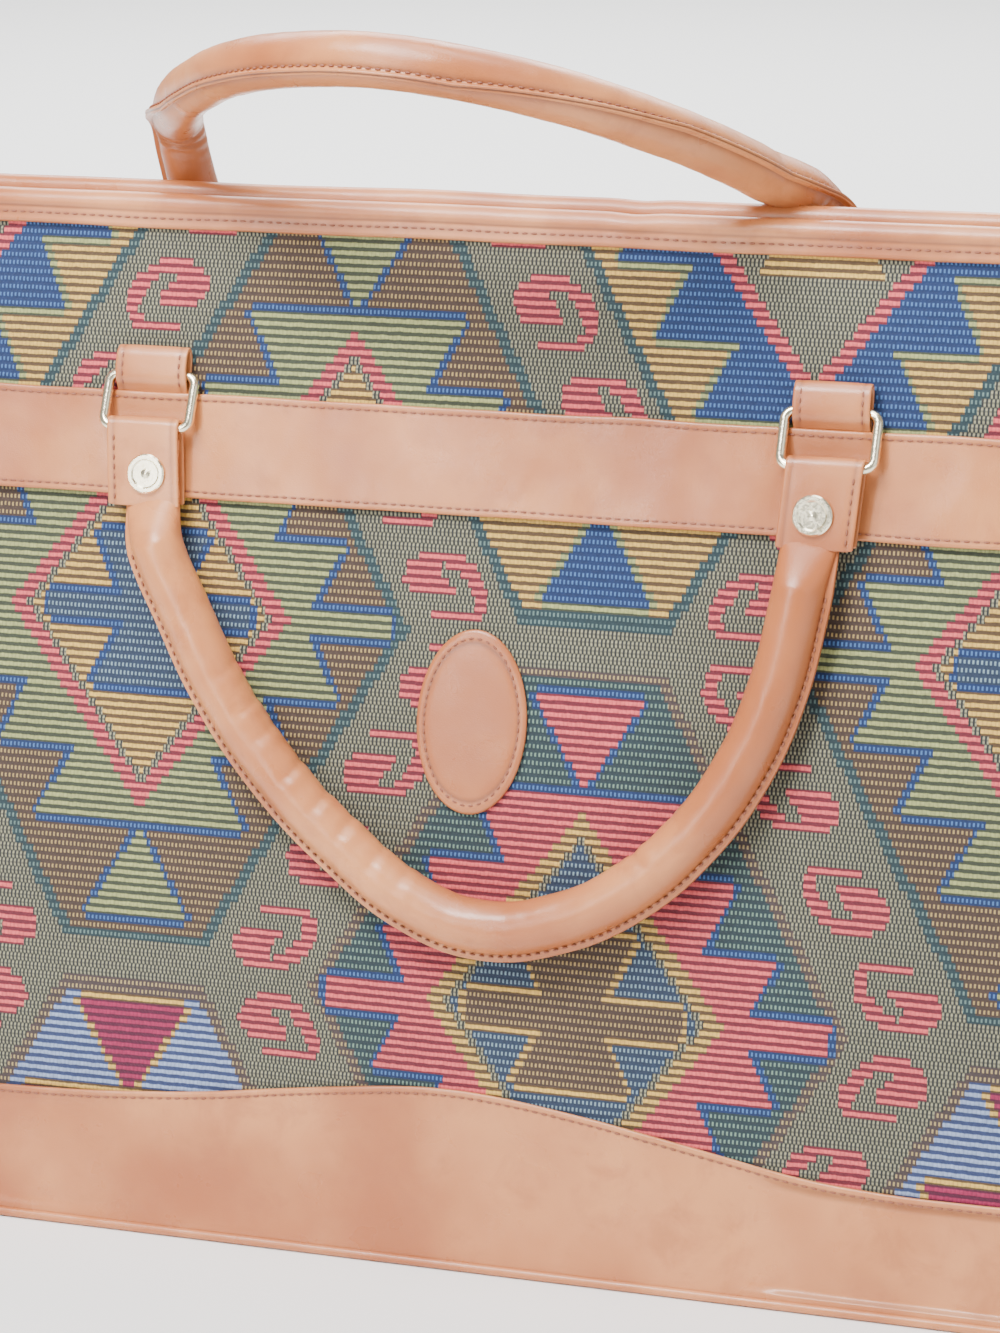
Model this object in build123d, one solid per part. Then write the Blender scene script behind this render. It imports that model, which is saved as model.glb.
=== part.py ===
from build123d import *
import os
from math import asin, atan2, cos, degrees, hypot, radians, sin, sqrt

# A soft-sided carpet bag in millimetres: tapestry panels with leather trim.
# Origin: middle of the base, on the ground. +X to the right of the front, +Y to the rear, +Z up.

# ---- driving dimensions ----
BAG_WIDTH = 500.0          # between the gussets at the foot
BAG_HEIGHT = 358.0         # ground to the top of the bindings
BASE_DEPTH = 160.0         # front to rear at the foot
TOP_SLIT = 2.4             # gap between the two top bindings
FACE_BULGE = 7.0           # how far the front and rear swell past flat
SIDE_LEAN = 14.0           # how far each gusset leans in by the top
SEAT = 0.05                # gap between sewn layers
RUNNING = 0.3              # gap round a moving ring or slider
OVERRUN = 4.0              # a sheet or block starts this far past the cut that ends it

CLOTH = 1.5
LEATHER = 1.4
LINING_WALL = 0.6
LINING_GAP = 0.4
HEAD_GAP = 1.0             # gussets and lining end this far under what closes them

# trim on the faces
BAND_DROP = 55.0           # foot of the binding to the top of the band
BAND_WIDTH = 35.0
TRIM_HEIGHT = 44.0         # above the ground
WAVE_HEIGHT = 62.0
WAVE_HALF = 110.0
TRIM_START = 4.4
PATCH_WIDTH = 39.0
PATCH_HEIGHT = 62.0
PATCH_DROP = 68.2          # foot of the band to the middle of the patch

# rolled top binding
ROLL_RADIUS = 4.2
BINDING_HEIGHT = 12.0

# base
PIPING_RADIUS = 1.75
BOARD = 3.0
BOARD_MARGIN = 6.0
BOARD_CORNER = 6.0

# rings, loops and handle tabs
RING_SPACING = 241.4       # between the two rings of one handle
WIRE_RADIUS = 1.75
RING_PLAY = 1.0            # between the strap's edge and the ring, each side
RING_BARS = 19.0           # between the centres of its two long bars
RING_CORNER = 3.5
STRAP_WIDTH = 26.2
LOOP_RISE = 5.6            # ring bar above the edge of the band
LOOP_SLOT = 7.0            # play for the bar inside the loop
LOOP_TAIL = 14.0
SKIVED = 0.5               # thinned end of a loop under the band
BAND_CLEAR = 1.4           # backs of the rivets out from the band, before the handle leans in
TAB_LENGTH = 27.5
RIVET_DROP = 16.0
RIVET_INSET = 2.7          # rivet towards the middle of the bag from the tab's centre
RIVET_CAP = 6.85           # radii of the cap, its back washer and its post
RIVET_BACK = 5.0
RIVET_POST = 2.0
RIVET_WASHER = 0.9         # thickness of the back washer
RIVET_EASE = 0.5           # eased outer corners
RIM_HEIGHT = 1.5           # the cap's raised rim, the dish inside it and the low crown
RIM_WIDTH = 1.7
DISH_HEIGHT = 1.0
DISH_SLOPE = 0.6
CROWN_HEIGHT = 1.4
CROWN_RADIUS = 1.7

# handles
TUBE_RADIUS = 9.0
WELT_WIDTH = 3.6
WELT_THICK = 2.4
WELT_ROOT = 1.0            # the welt starts this far inside the tube
HANDLE_DROP = 162.0        # ring bar to the middle of the tube at the bottom of the U
TUBE_INSET = 2.3           # top of the tube towards the middle from its rivet
LEG_RADIUS = 190.0
ARC_SPLIT = 36.0           # where the bottom arc passes into the leg arcs, from upright
LEG_SPLAY = 8.0            # slant of the leg where it leaves the tab
TONGUE_WIDTH = 21.0
TONGUE_START = 4.0
TONGUE_ROUND = 0.45        # corner radius of the tongue's end, as a share of its thickness
TUBE_BACK = 4.4            # back of the tube behind the plane of the tongue
FACE_REST = 2.0            # the hanging handle leans in until its bottom is this near the face
BINDING_CLEAR = 0.7        # the standing legs lean out past the rear binding by this
KINK_DROP = 54.0           # ring bar to the kink in the rear handle
KINK_ANGLE = 43.0
KNUCKLE = 0.4              # the crumpled kink stands this much proud of the tube

# zip
ZIP_BELOW_BINDING = 18.0
ZIP_HALF = 215.0
TAPE = 0.6
TAPE_RISE = 8.0            # how far the tape runs up the inside of the cloth
COIL_WIDTH = 2.6
COIL_HEIGHT = 2.2
COIL_ROUND = 0.55
COIL_GAP = 0.7             # half the space between the coils
SLIDER_LENGTH = 14.0
SLIDER_PLATE = 1.1
SLIDER_END = 4.0           # slider stops this far from the end of the coils
PULL_LENGTH = 20.0
PULL_WIDTH = 5.0
PULL_THICK = 1.4
PULL_PIN = 0.9
PULL_EYE = 2.0
PIN_PLAY = 0.08
EAR_LENGTH = 3.6           # the ears that hold the pin

# ---- the front face, an arc about a line along X ----
BINDING_FOOT = BAG_HEIGHT - BINDING_HEIGHT
ROLL_CENTRE = BAG_HEIGHT - ROLL_RADIUS
TOP_HALF = TOP_SLIT / 2 + ROLL_RADIUS + CLOTH / 2
CHORD_RUN = BASE_DEPTH / 2 - TOP_HALF
CHORD = hypot(CHORD_RUN, ROLL_CENTRE)
FACE_RADIUS = (CHORD**2 / 4 + FACE_BULGE**2) / (2 * FACE_BULGE)
TO_AXIS = FACE_RADIUS - FACE_BULGE
AXIS_Y = -(BASE_DEPTH / 2 + TOP_HALF) / 2 + TO_AXIS * ROLL_CENTRE / CHORD
AXIS_Z = ROLL_CENTRE / 2 - TO_AXIS * CHORD_RUN / CHORD

BAND_TOP = BINDING_FOOT - BAND_DROP
BAND_FOOT = BAND_TOP - BAND_WIDTH
BAND_GAP = SKIVED + 4 * SEAT
SEAM = (BAND_TOP + BAND_FOOT) / 2
PATCH_CENTRE = BAND_FOOT - PATCH_DROP


def face_angle(height):
    """Angle of the outward normal above the level, at a height on the cloth."""
    return asin((height - AXIS_Z) / FACE_RADIUS)


def on_face(angle, out=0.0):
    """Point in the YZ plane at an angle on the face, out from the cloth."""
    radius = FACE_RADIUS + out
    return Vector(AXIS_Y - radius * cos(angle), AXIS_Z + radius * sin(angle))


def face_y(height, out=0.0):
    return AXIS_Y - sqrt((FACE_RADIUS + out) ** 2 - (height - AXIS_Z) ** 2)


def face_frame(height, x=0.0, out=0.0):
    """Plane on the face: local X along the bag, Y up the face, Z outward."""
    angle = face_angle(height)
    spot = on_face(angle, out)
    return Plane(
        origin=(x, spot.X, spot.Y),
        x_dir=(1, 0, 0),
        z_dir=(0, -cos(angle), sin(angle)),
    )


def half_width(height, grow=0.0):
    return BAG_WIDTH / 2 - SIDE_LEAN * height / BAG_HEIGHT + grow


def width_block(grow=0.0):
    """Everything between the two leaning gusset planes."""
    low, high = -OVERRUN, BAG_HEIGHT + OVERRUN
    outline = Polyline(
        (-half_width(low, grow), low),
        (half_width(low, grow), low),
        (half_width(high, grow), high),
        (-half_width(high, grow), high),
        close=True,
    )
    return extrude(Plane.XZ * make_face(outline), amount=BASE_DEPTH, both=True)


def level_block(foot, head):
    """Everything between two heights."""
    slab = Box(2 * BAG_WIDTH, 2 * BAG_WIDTH, head - foot)
    return Pos(0, 0, (head + foot) / 2) * slab


def face_sheet(foot, head, inner, outer):
    """A sheet that follows the front face between two heights and two depths."""
    low, high = face_angle(foot), face_angle(head)
    middle = (low + high) / 2
    outline = [
        ThreePointArc(on_face(low, outer), on_face(middle, outer), on_face(high, outer)),
        Line(on_face(high, outer), on_face(high, inner)),
        ThreePointArc(on_face(high, inner), on_face(middle, inner), on_face(low, inner)),
        Line(on_face(low, inner), on_face(low, outer)),
    ]
    section = Plane.YZ * make_face(Wire(outline))
    return extrude(section, amount=BAG_WIDTH, both=True) & width_block()


def body_block(foot, head, inset, side_inset):
    """The solid space between front and rear, inset from the outside of the cloth."""
    low, high = face_angle(foot - OVERRUN), face_angle(head + OVERRUN)
    middle = (low + high) / 2
    front = [on_face(angle, -inset) for angle in (low, middle, high)]
    rear = [Vector(-spot.X, spot.Y) for spot in front]
    outline = [
        ThreePointArc(*front),
        Line(front[2], rear[2]),
        ThreePointArc(*reversed(rear)),
        Line(rear[0], front[0]),
    ]
    section = Plane.YZ * make_face(Wire(outline))
    block = extrude(section, amount=BAG_WIDTH, both=True) & width_block(-side_inset)
    return block & level_block(foot, head)


def to_rear(shape):
    return mirror(shape, about=Plane.XZ)


def save(name, shape):
    export_step(shape, f"parts/{name}.step")


def save_both(name, shape):
    """Write a piece of the front and its twin on the rear."""
    save(f"front_{name}", shape)
    save(f"rear_{name}", to_rear(shape))


# ---- cloth, bands and trim ----
def lower_tapestry():
    foot = LEATHER + SEAT
    return face_sheet(foot - OVERRUN, SEAM, -CLOTH, 0) & level_block(foot, BAG_HEIGHT)


def upper_tapestry():
    """A strip cut apart from the rest, its seam behind the band."""
    return face_sheet(SEAM + SEAT, ROLL_CENTRE, -CLOTH, 0)


def band():
    return face_sheet(BAND_FOOT, BAND_TOP, BAND_GAP, BAND_GAP + LEATHER)


def lower_trim():
    """Leather along the foot with one soft wave in the middle of its top edge."""
    edge = BAG_WIDTH
    top = Spline(
        (-WAVE_HALF, TRIM_HEIGHT),
        (0, WAVE_HEIGHT),
        (WAVE_HALF, TRIM_HEIGHT),
        tangents=[(1, 0), (1, 0), (1, 0)],
    )
    outline = [
        Line((-edge, TRIM_HEIGHT), (-WAVE_HALF, TRIM_HEIGHT)),
        top,
        Line((WAVE_HALF, TRIM_HEIGHT), (edge, TRIM_HEIGHT)),
        Line((edge, TRIM_HEIGHT), (edge, 0)),
        Line((edge, 0), (-edge, 0)),
        Line((-edge, 0), (-edge, TRIM_HEIGHT)),
    ]
    wave = extrude(Plane.XZ * make_face(Wire(outline)), amount=BASE_DEPTH)
    return face_sheet(TRIM_START, WAVE_HEIGHT + OVERRUN, SEAT, SEAT + LEATHER) & wave


def top_binding():
    """A leather roll over the top edge of the cloth, with a leg down each side."""
    frame = face_frame(BINDING_FOOT)
    rise = (ROLL_CENTRE - BINDING_FOOT) / cos(face_angle(ROLL_CENTRE))
    middle = -CLOTH / 2
    leg = CLOTH / 2 + SEAT + LEATHER
    foot_outer, foot_inner = Vector(middle + leg, 0), Vector(middle - leg, 0)
    outline = [
        Line(foot_outer, (middle + ROLL_RADIUS, rise)),
        ThreePointArc(
            (middle + ROLL_RADIUS, rise),
            (middle, rise + ROLL_RADIUS),
            (middle - ROLL_RADIUS, rise),
        ),
        Line((middle - ROLL_RADIUS, rise), foot_inner),
        Line(foot_inner, foot_outer),
    ]
    # the section's own X is outward and its own Y is up the face
    section_plane = Plane(
        origin=frame.origin,
        x_dir=frame.z_dir,
        z_dir=frame.z_dir.cross(frame.y_dir),
    )
    section = section_plane * make_face(Wire(outline))
    roll = extrude(section, amount=BAG_WIDTH, both=True) & width_block()
    return roll - face_sheet(BINDING_FOOT - OVERRUN, ROLL_CENTRE + SEAT, -CLOTH - SEAT, SEAT)


def oval_patch():
    disc = Ellipse(PATCH_WIDTH / 2, PATCH_HEIGHT / 2)
    column = extrude(face_frame(PATCH_CENTRE) * disc, amount=OVERRUN, both=True)
    half = PATCH_HEIGHT / 2 + OVERRUN
    sheet = face_sheet(PATCH_CENTRE - half, PATCH_CENTRE + half, SEAT, SEAT + LEATHER)
    return column & sheet


# ---- ends and base ----
def end_block(side):
    """Everything near one end of the bag."""
    return Pos(side * BAG_WIDTH / 2, 0, 0) * Box(BAG_WIDTH / 2, BAG_WIDTH, 3 * BAG_HEIGHT)


def gusset(side):
    """A wedge of tapestry that fills one end, inside the front and rear cloth."""
    wedge = body_block(LEATHER + SEAT, BINDING_FOOT - HEAD_GAP, CLOTH + SEAT, 0)
    return (wedge - width_block(-CLOTH)) & end_block(side)


def side_trim(side):
    """Leather along the foot of one end, over the gusset and the corner edges."""
    wide = body_block(TRIM_START, TRIM_HEIGHT, -SEAT - LEATHER, -SEAT - LEATHER)
    return (wide - width_block(SEAT)) & end_block(side)


def base_panel():
    plate = Box(BAG_WIDTH, BASE_DEPTH, LEATHER)
    return Pos(0, 0, LEATHER / 2) * plate


def base_piping():
    """A corded seam close round the foot of the bag, its corners as tight as the cord can turn."""
    reach = PIPING_RADIUS + 3 * SEAT
    corner = reach + 2 * SEAT
    outline = RectangleRounded(BAG_WIDTH + 2 * reach, BASE_DEPTH + 2 * reach, corner)
    path = Pos(0, 0, PIPING_RADIUS + SEAT) * outline.face().outer_wire()
    start = path @ 0
    cord = Plane(origin=start, z_dir=path % 0) * Circle(PIPING_RADIUS)
    return sweep(cord, path=path)


def base_board():
    wide = BAG_WIDTH - 2 * BOARD_MARGIN
    deep = BASE_DEPTH - 2 * BOARD_MARGIN
    plate = extrude(RectangleRounded(wide, deep, BOARD_CORNER), amount=BOARD)
    return Pos(0, 0, LEATHER + SEAT) * plate


# ---- zip ----
ZIP_LEVEL = BINDING_FOOT - ZIP_BELOW_BINDING
COIL_MIDDLE = COIL_GAP + COIL_WIDTH / 2


def lining():
    """A thin pouch that stands on the board and ends under the zip tapes."""
    foot = LEATHER + BOARD + 4 * SEAT
    skin = CLOTH + LINING_GAP
    inner = skin + LINING_WALL
    pouch = body_block(foot, ZIP_LEVEL - HEAD_GAP, skin, skin)
    return pouch - body_block(foot + LINING_WALL, ZIP_LEVEL + OVERRUN, inner, inner)


def zip_tape():
    """Tape from the coil out to the cloth, then up the inside of the cloth."""
    skin = CLOTH + SEAT
    edge = face_y(ZIP_LEVEL, -skin - TAPE / 2)
    shelf_width = -COIL_MIDDLE - edge
    shelf = Pos(0, (edge - COIL_MIDDLE) / 2, ZIP_LEVEL) * Box(2 * ZIP_HALF, shelf_width, TAPE)
    upright = face_sheet(ZIP_LEVEL - TAPE / 2, ZIP_LEVEL + TAPE_RISE, -skin - TAPE, -skin)
    between_ends = Box(2 * ZIP_HALF, BASE_DEPTH, 2 * BAG_HEIGHT)
    return shelf + (upright & between_ends)


def zip_coil():
    bead = Box(2 * ZIP_HALF, COIL_WIDTH, COIL_HEIGHT)
    bead = fillet(bead.edges().filter_by(Axis.X), COIL_ROUND)
    groove = Box(2 * ZIP_HALF, COIL_WIDTH, TAPE + 2 * SEAT)
    bead -= Pos(0, -COIL_WIDTH / 2, 0) * groove
    return Pos(0, -COIL_MIDDLE, ZIP_LEVEL) * bead


SLIDER_X = ZIP_HALF - SLIDER_END - SLIDER_LENGTH / 2
SLIDER_HALF = COIL_GAP + COIL_WIDTH + RUNNING + SLIDER_PLATE
PLATE_LEVEL = COIL_HEIGHT / 2 + RUNNING + SLIDER_PLATE / 2
PLATE_TOP = ZIP_LEVEL + PLATE_LEVEL + SLIDER_PLATE / 2
PIN_LEVEL = PLATE_TOP + PULL_EYE + RUNNING
PIN_X = SLIDER_X - SLIDER_LENGTH / 4


def zip_slider():
    """Two plates joined by a thin web between the coils, with lips and a pull pin."""
    plate = Box(SLIDER_LENGTH, 2 * SLIDER_HALF, SLIDER_PLATE)
    web = Box(SLIDER_LENGTH, 2 * (COIL_GAP - RUNNING), 2 * PLATE_LEVEL)
    lip_height = (COIL_HEIGHT - TAPE) / 2
    lip = Box(SLIDER_LENGTH, SLIDER_PLATE, lip_height)
    lip_level = PLATE_LEVEL - SLIDER_PLATE / 2 - lip_height / 2
    lip_out = SLIDER_HALF - SLIDER_PLATE / 2
    body = Pos(0, 0, PLATE_LEVEL) * plate + Pos(0, 0, -PLATE_LEVEL) * plate + web
    for across in (-lip_out, lip_out):
        for level in (-lip_level, lip_level):
            body += Pos(0, across, level) * lip
    body = Pos(SLIDER_X, 0, ZIP_LEVEL) * body
    ear_gap = PULL_WIDTH / 2 + RUNNING
    ear_height = PIN_LEVEL + EAR_LENGTH / 2 - PLATE_TOP
    ear = Box(EAR_LENGTH, SLIDER_PLATE, ear_height)
    for across in (-1, 1):
        ear_level = PLATE_TOP + ear_height / 2
        body += Pos(PIN_X, across * (ear_gap + SLIDER_PLATE / 2), ear_level) * ear
    pin = Rot(90, 0, 0) * Cylinder(PULL_PIN, 2 * ear_gap + SLIDER_PLATE)
    return body + Pos(PIN_X, 0, PIN_LEVEL) * pin


def zip_pull():
    """A flat tab with an eye round the slider's pin."""
    tab = extrude(SlotOverall(PULL_LENGTH, PULL_WIDTH), amount=PULL_THICK / 2, both=True)
    eye = Rot(90, 0, 0) * Cylinder(PULL_EYE, PULL_WIDTH)
    pull = Pos(PULL_LENGTH / 2, 0, 0) * tab + eye
    pull -= Rot(90, 0, 0) * Cylinder(PULL_PIN + PIN_PLAY, 2 * PULL_WIDTH)
    return Pos(PIN_X, 0, PIN_LEVEL) * Rot(0, 0, 180) * pull


# ---- rings and loops, in frames on the front face ----
FOLD_INNER = WIRE_RADIUS + RUNNING
FOLD_OUTER = FOLD_INNER + LEATHER
HIGH_BAR_STANDOFF = SEAT + FOLD_OUTER
LOW_BAR_STANDOFF = BAND_GAP + LEATHER + BAND_CLEAR + RIVET_WASHER + SEAT + FOLD_OUTER
BAR_FALL = sqrt(RING_BARS**2 - (LOW_BAR_STANDOFF - HIGH_BAR_STANDOFF) ** 2)
HINGE_FRAME = face_frame(BAND_TOP + LOOP_RISE)


def on_hinge(x, along, out):
    """Plane at a place in the hinge frame, turned as that frame is."""
    return HINGE_FRAME * Pos(x, along, out)


def side_section(outline, width):
    """A section drawn with X outward and Y up the face, made into a strap."""
    plane = Plane(
        origin=HINGE_FRAME.origin,
        x_dir=HINGE_FRAME.z_dir,
        z_dir=HINGE_FRAME.z_dir.cross(HINGE_FRAME.y_dir),
    )
    return extrude(plane * outline, amount=width / 2, both=True)


def ring_loop(x):
    """A strap folded over the ring's upper bar, its thinned tail under the band."""
    slot_middle = Pos(HIGH_BAR_STANDOFF, LOOP_SLOT / 2) * Rot(0, 0, 90)
    fold = slot_middle * SlotOverall(LOOP_SLOT + 2 * FOLD_OUTER, 2 * FOLD_OUTER)
    fold -= slot_middle * SlotOverall(LOOP_SLOT + 2 * FOLD_INNER, 2 * FOLD_INNER)
    tail = Pos(SEAT + SKIVED / 2, (LEATHER - LOOP_TAIL) / 2) * Rectangle(SKIVED, LOOP_TAIL + LEATHER)
    return Pos(x, 0, 0) * side_section(fold + tail, STRAP_WIDTH)


def ring(x, hanging):
    """A closed wire ring from the upper bar, hanging down or standing up."""
    turn = -1 if hanging else 1
    lean = degrees(atan2(LOW_BAR_STANDOFF - HIGH_BAR_STANDOFF, BAR_FALL))
    long_bar = STRAP_WIDTH + 2 * RING_PLAY + 2 * WIRE_RADIUS
    outline = RectangleRounded(long_bar, RING_BARS, RING_CORNER)
    path = outline.face().outer_wire()
    start = path @ 0
    section = Plane(origin=start, z_dir=path % 0) * Circle(WIRE_RADIUS)
    wire = Pos(0, turn * RING_BARS / 2, 0) * sweep(section, path=path)
    return on_hinge(x, 0, HIGH_BAR_STANDOFF) * Rot(turn * lean, 0, 0) * wire


FACE_FALL = (BAR_FALL + HANDLE_DROP) ** 2 / (2 * FACE_RADIUS)
BACK_STANDOFF = LOW_BAR_STANDOFF - TUBE_BACK
FRONT_TUCK = degrees(asin((BACK_STANDOFF + FACE_FALL - FACE_REST) / HANDLE_DROP))
ROLL_RISE = (ROLL_CENTRE - BAND_TOP - LOOP_RISE) / cos(face_angle(ROLL_CENTRE)) - BAR_FALL
ROLL_STANDOFF = ROLL_RADIUS - CLOTH / 2
REAR_LEAN = degrees(asin((ROLL_STANDOFF + BINDING_CLEAR - BACK_STANDOFF) / ROLL_RISE))


def handle_frame(hanging):
    """Frame on the far ring bar: Y along the handle away from the ring, Z outward."""
    if hanging:
        place = on_hinge(0, -BAR_FALL, LOW_BAR_STANDOFF)
        return place * Rot(FRONT_TUCK, 0, 0) * Rot(0, 0, 180)
    place = on_hinge(0, BAR_FALL, LOW_BAR_STANDOFF)
    return place * Rot(REAR_LEAN, 0, 0)


def handle_tab(x):
    """A strap folded round the far ring bar, both ends riveted to the handle."""
    legs = Pos(TAB_LENGTH / 2, 0) * Rectangle(TAB_LENGTH, 2 * FOLD_OUTER)
    bore = Pos(TAB_LENGTH / 2, 0) * Rectangle(TAB_LENGTH, 2 * FOLD_INNER)
    section = legs + Circle(FOLD_OUTER) - bore - Circle(FOLD_INNER)
    plane = Plane(origin=(x, 0, 0), x_dir=(0, 1, 0), z_dir=(1, 0, 0))
    strap = extrude(plane * section, amount=STRAP_WIDTH / 2, both=True)
    hole = Cylinder(RIVET_POST + SEAT, 4 * FOLD_OUTER)
    return strap - Pos(rivet_x(x), RIVET_DROP, 0) * hole


def rivet_x(x):
    return x - RIVET_INSET if x > 0 else x + RIVET_INSET


def rivet(x):
    """A dished cap, a post through the tab and the tongue, and a back washer."""
    front = FOLD_OUTER + SEAT
    back = -front
    rim_inner = RIVET_CAP - RIM_WIDTH
    outline = Polyline(
        (0, back - RIVET_WASHER),
        (RIVET_BACK - RIVET_EASE, back - RIVET_WASHER),
        (RIVET_BACK, back - RIVET_WASHER + RIVET_EASE),
        (RIVET_BACK, back),
        (RIVET_POST, back),
        (RIVET_POST, front),
        (RIVET_CAP, front),
        (RIVET_CAP, front + RIM_HEIGHT - RIVET_EASE),
        (RIVET_CAP - RIVET_EASE, front + RIM_HEIGHT),
        (rim_inner, front + RIM_HEIGHT),
        (rim_inner - DISH_SLOPE, front + DISH_HEIGHT),
        (CROWN_RADIUS, front + DISH_HEIGHT),
        (0, front + CROWN_HEIGHT),
        close=True,
    )
    solid = revolve(Plane.XZ * make_face(outline), axis=Axis.Z)
    return Pos(rivet_x(x), RIVET_DROP, 0) * solid


# ---- handles, drawn flat: X across, Y from the ring bar to the bottom of the U, Z outward ----
def arc_points(centre, radius, start, end):
    """Start, middle and end of an arc, by angles in degrees from the +X side."""
    angles = [radians(a) for a in (start, (start + end) / 2, end)]
    return [(centre[0] + radius * cos(a), centre[1] + radius * sin(a)) for a in angles]


TUBE_END_X = RIVET_INSET + TUBE_INSET - RING_SPACING / 2
LEG_CENTRE_X = TUBE_END_X + LEG_RADIUS * cos(radians(LEG_SPLAY))
RADIUS_STEP = LEG_CENTRE_X / cos(radians(ARC_SPLIT))
BOTTOM_RADIUS = LEG_RADIUS - RADIUS_STEP
BOTTOM_CENTRE = (0, HANDLE_DROP - BOTTOM_RADIUS)
LEG_CENTRE_Y = BOTTOM_CENTRE[1] - RADIUS_STEP * sin(radians(ARC_SPLIT))
TUBE_END_Y = LEG_CENTRE_Y + LEG_RADIUS * sin(radians(LEG_SPLAY))
TUBE_OUTSET = TUBE_RADIUS - TUBE_BACK


def tube_path():
    """Left leg, bottom and right leg of the U, as three tangent arcs."""
    left = arc_points((LEG_CENTRE_X, LEG_CENTRE_Y), LEG_RADIUS, 180 - LEG_SPLAY, 180 - ARC_SPLIT)
    bottom = arc_points(BOTTOM_CENTRE, BOTTOM_RADIUS, 180 - ARC_SPLIT, ARC_SPLIT)
    right = arc_points((-LEG_CENTRE_X, LEG_CENTRE_Y), LEG_RADIUS, ARC_SPLIT, LEG_SPLAY)
    return Wire([ThreePointArc(*left), ThreePointArc(*bottom), ThreePointArc(*right)])


def handle_tube():
    """The stuffed tube with its flat welt on the outer side of the U."""
    path = Pos(0, 0, TUBE_OUTSET) * tube_path()
    outward = (-cos(radians(LEG_SPLAY)), sin(radians(LEG_SPLAY)), 0)
    section = Circle(TUBE_RADIUS)
    rooted = WELT_ROOT + WELT_WIDTH
    section += Pos(TUBE_RADIUS - WELT_ROOT + rooted / 2, 0) * Rectangle(rooted, WELT_THICK)
    plane = Plane(origin=path @ 0, x_dir=outward, z_dir=path % 0)
    return sweep(plane * section, path=path)


def handle_end(side):
    """Flat tongue inside the tab, swelling into the end of the tube."""
    rivet_place = side * (RING_SPACING / 2 - RIVET_INSET)
    thick = 2 * (FOLD_INNER - 2 * SEAT)
    length = TAB_LENGTH + SEAT - TONGUE_START
    tongue = Pos(rivet_place, TONGUE_START + length / 2, 0) * Box(TONGUE_WIDTH, length, thick)
    tongue -= Pos(rivet_place, RIVET_DROP, 0) * Cylinder(RIVET_POST + SEAT, 4 * thick)
    tail = Plane(
        origin=(rivet_place, TAB_LENGTH + SEAT, 0),
        x_dir=(1, 0, 0),
        z_dir=(0, 1, 0),
    ) * RectangleRounded(TONGUE_WIDTH, thick, TONGUE_ROUND * thick)
    slant = radians(LEG_SPLAY)
    mouth = Plane(
        origin=(-side * TUBE_END_X, TUBE_END_Y, TUBE_OUTSET),
        x_dir=(cos(slant), side * sin(slant), 0),
        z_dir=(-side * sin(slant), cos(slant), 0),
    ) * Circle(TUBE_RADIUS)
    return tongue + loft([tail, mouth])


def flat_handle():
    return handle_tube() + handle_end(-1) + handle_end(1)


def kinked_handle():
    """The same handle with both legs folded forward just above the top of the bag."""
    whole = flat_handle()
    reach = 2 * HANDLE_DROP
    legs = whole & Pos(0, KINK_DROP - reach / 2, 0) * Box(reach, reach, reach)
    arch = whole & Pos(0, KINK_DROP + reach / 2, 0) * Box(reach, reach, reach)
    kink = Pos(0, KINK_DROP, TUBE_OUTSET)
    arch = kink * Rot(-KINK_ANGLE, 0, 0) * kink.inverse() * arch
    handle = legs + arch
    drop = asin((KINK_DROP - LEG_CENTRE_Y) / LEG_RADIUS)
    knuckle_x = LEG_RADIUS * cos(drop) - LEG_CENTRE_X
    seam_reach = (TUBE_RADIUS + WELT_WIDTH) / cos(drop)
    seam = Rot(0, 90, 0) * Cylinder(WELT_THICK / 2 + KNUCKLE, seam_reach)
    for side in (-1, 1):
        handle += kink * Pos(side * knuckle_x, 0, 0) * Sphere(TUBE_RADIUS + KNUCKLE)
        handle += kink * Pos(side * (knuckle_x + seam_reach / 2), 0, 0) * seam
    return handle


# ---- build every node ----
os.makedirs("parts", exist_ok=True)
save_both("lower_tapestry", lower_tapestry())
save_both("upper_tapestry", upper_tapestry())
save_both("band", band())
save_both("lower_trim", lower_trim())
save_both("top_binding", top_binding())
save_both("zip_tape", zip_tape())
save_both("zip_coil", zip_coil())
save("oval_patch", oval_patch())
save("base_panel", base_panel())
save("base_piping", base_piping())
save("base_board", base_board())
save("lining", lining())
save("zip_slider", zip_slider())
save("zip_pull", zip_pull())

for name, side in (("left", -1), ("right", 1)):
    centre = side * RING_SPACING / 2
    save(f"{name}_gusset", gusset(side))
    save(f"{name}_lower_trim", side_trim(side))
    save_both(f"{name}_ring_loop", ring_loop(centre))
    save(f"front_{name}_ring", ring(centre, hanging=True))
    save(f"rear_{name}_ring", to_rear(ring(centre, hanging=False)))
    # the hanging frame is turned half round, so its own left is the bag's right
    save(f"front_{name}_handle_tab", handle_frame(True) * handle_tab(-centre))
    save(f"front_{name}_rivet", handle_frame(True) * rivet(-centre))
    save(f"rear_{name}_handle_tab", to_rear(handle_frame(False) * handle_tab(centre)))
    save(f"rear_{name}_rivet", to_rear(handle_frame(False) * rivet(centre)))

save("front_handle", handle_frame(True) * flat_handle())
save("rear_handle", to_rear(handle_frame(False) * kinked_handle()))
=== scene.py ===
from math import asin, cos, exp, pi, radians, sin

import bmesh
import bpy
import numpy as np
from mathutils import Matrix, Vector, noise


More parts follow.
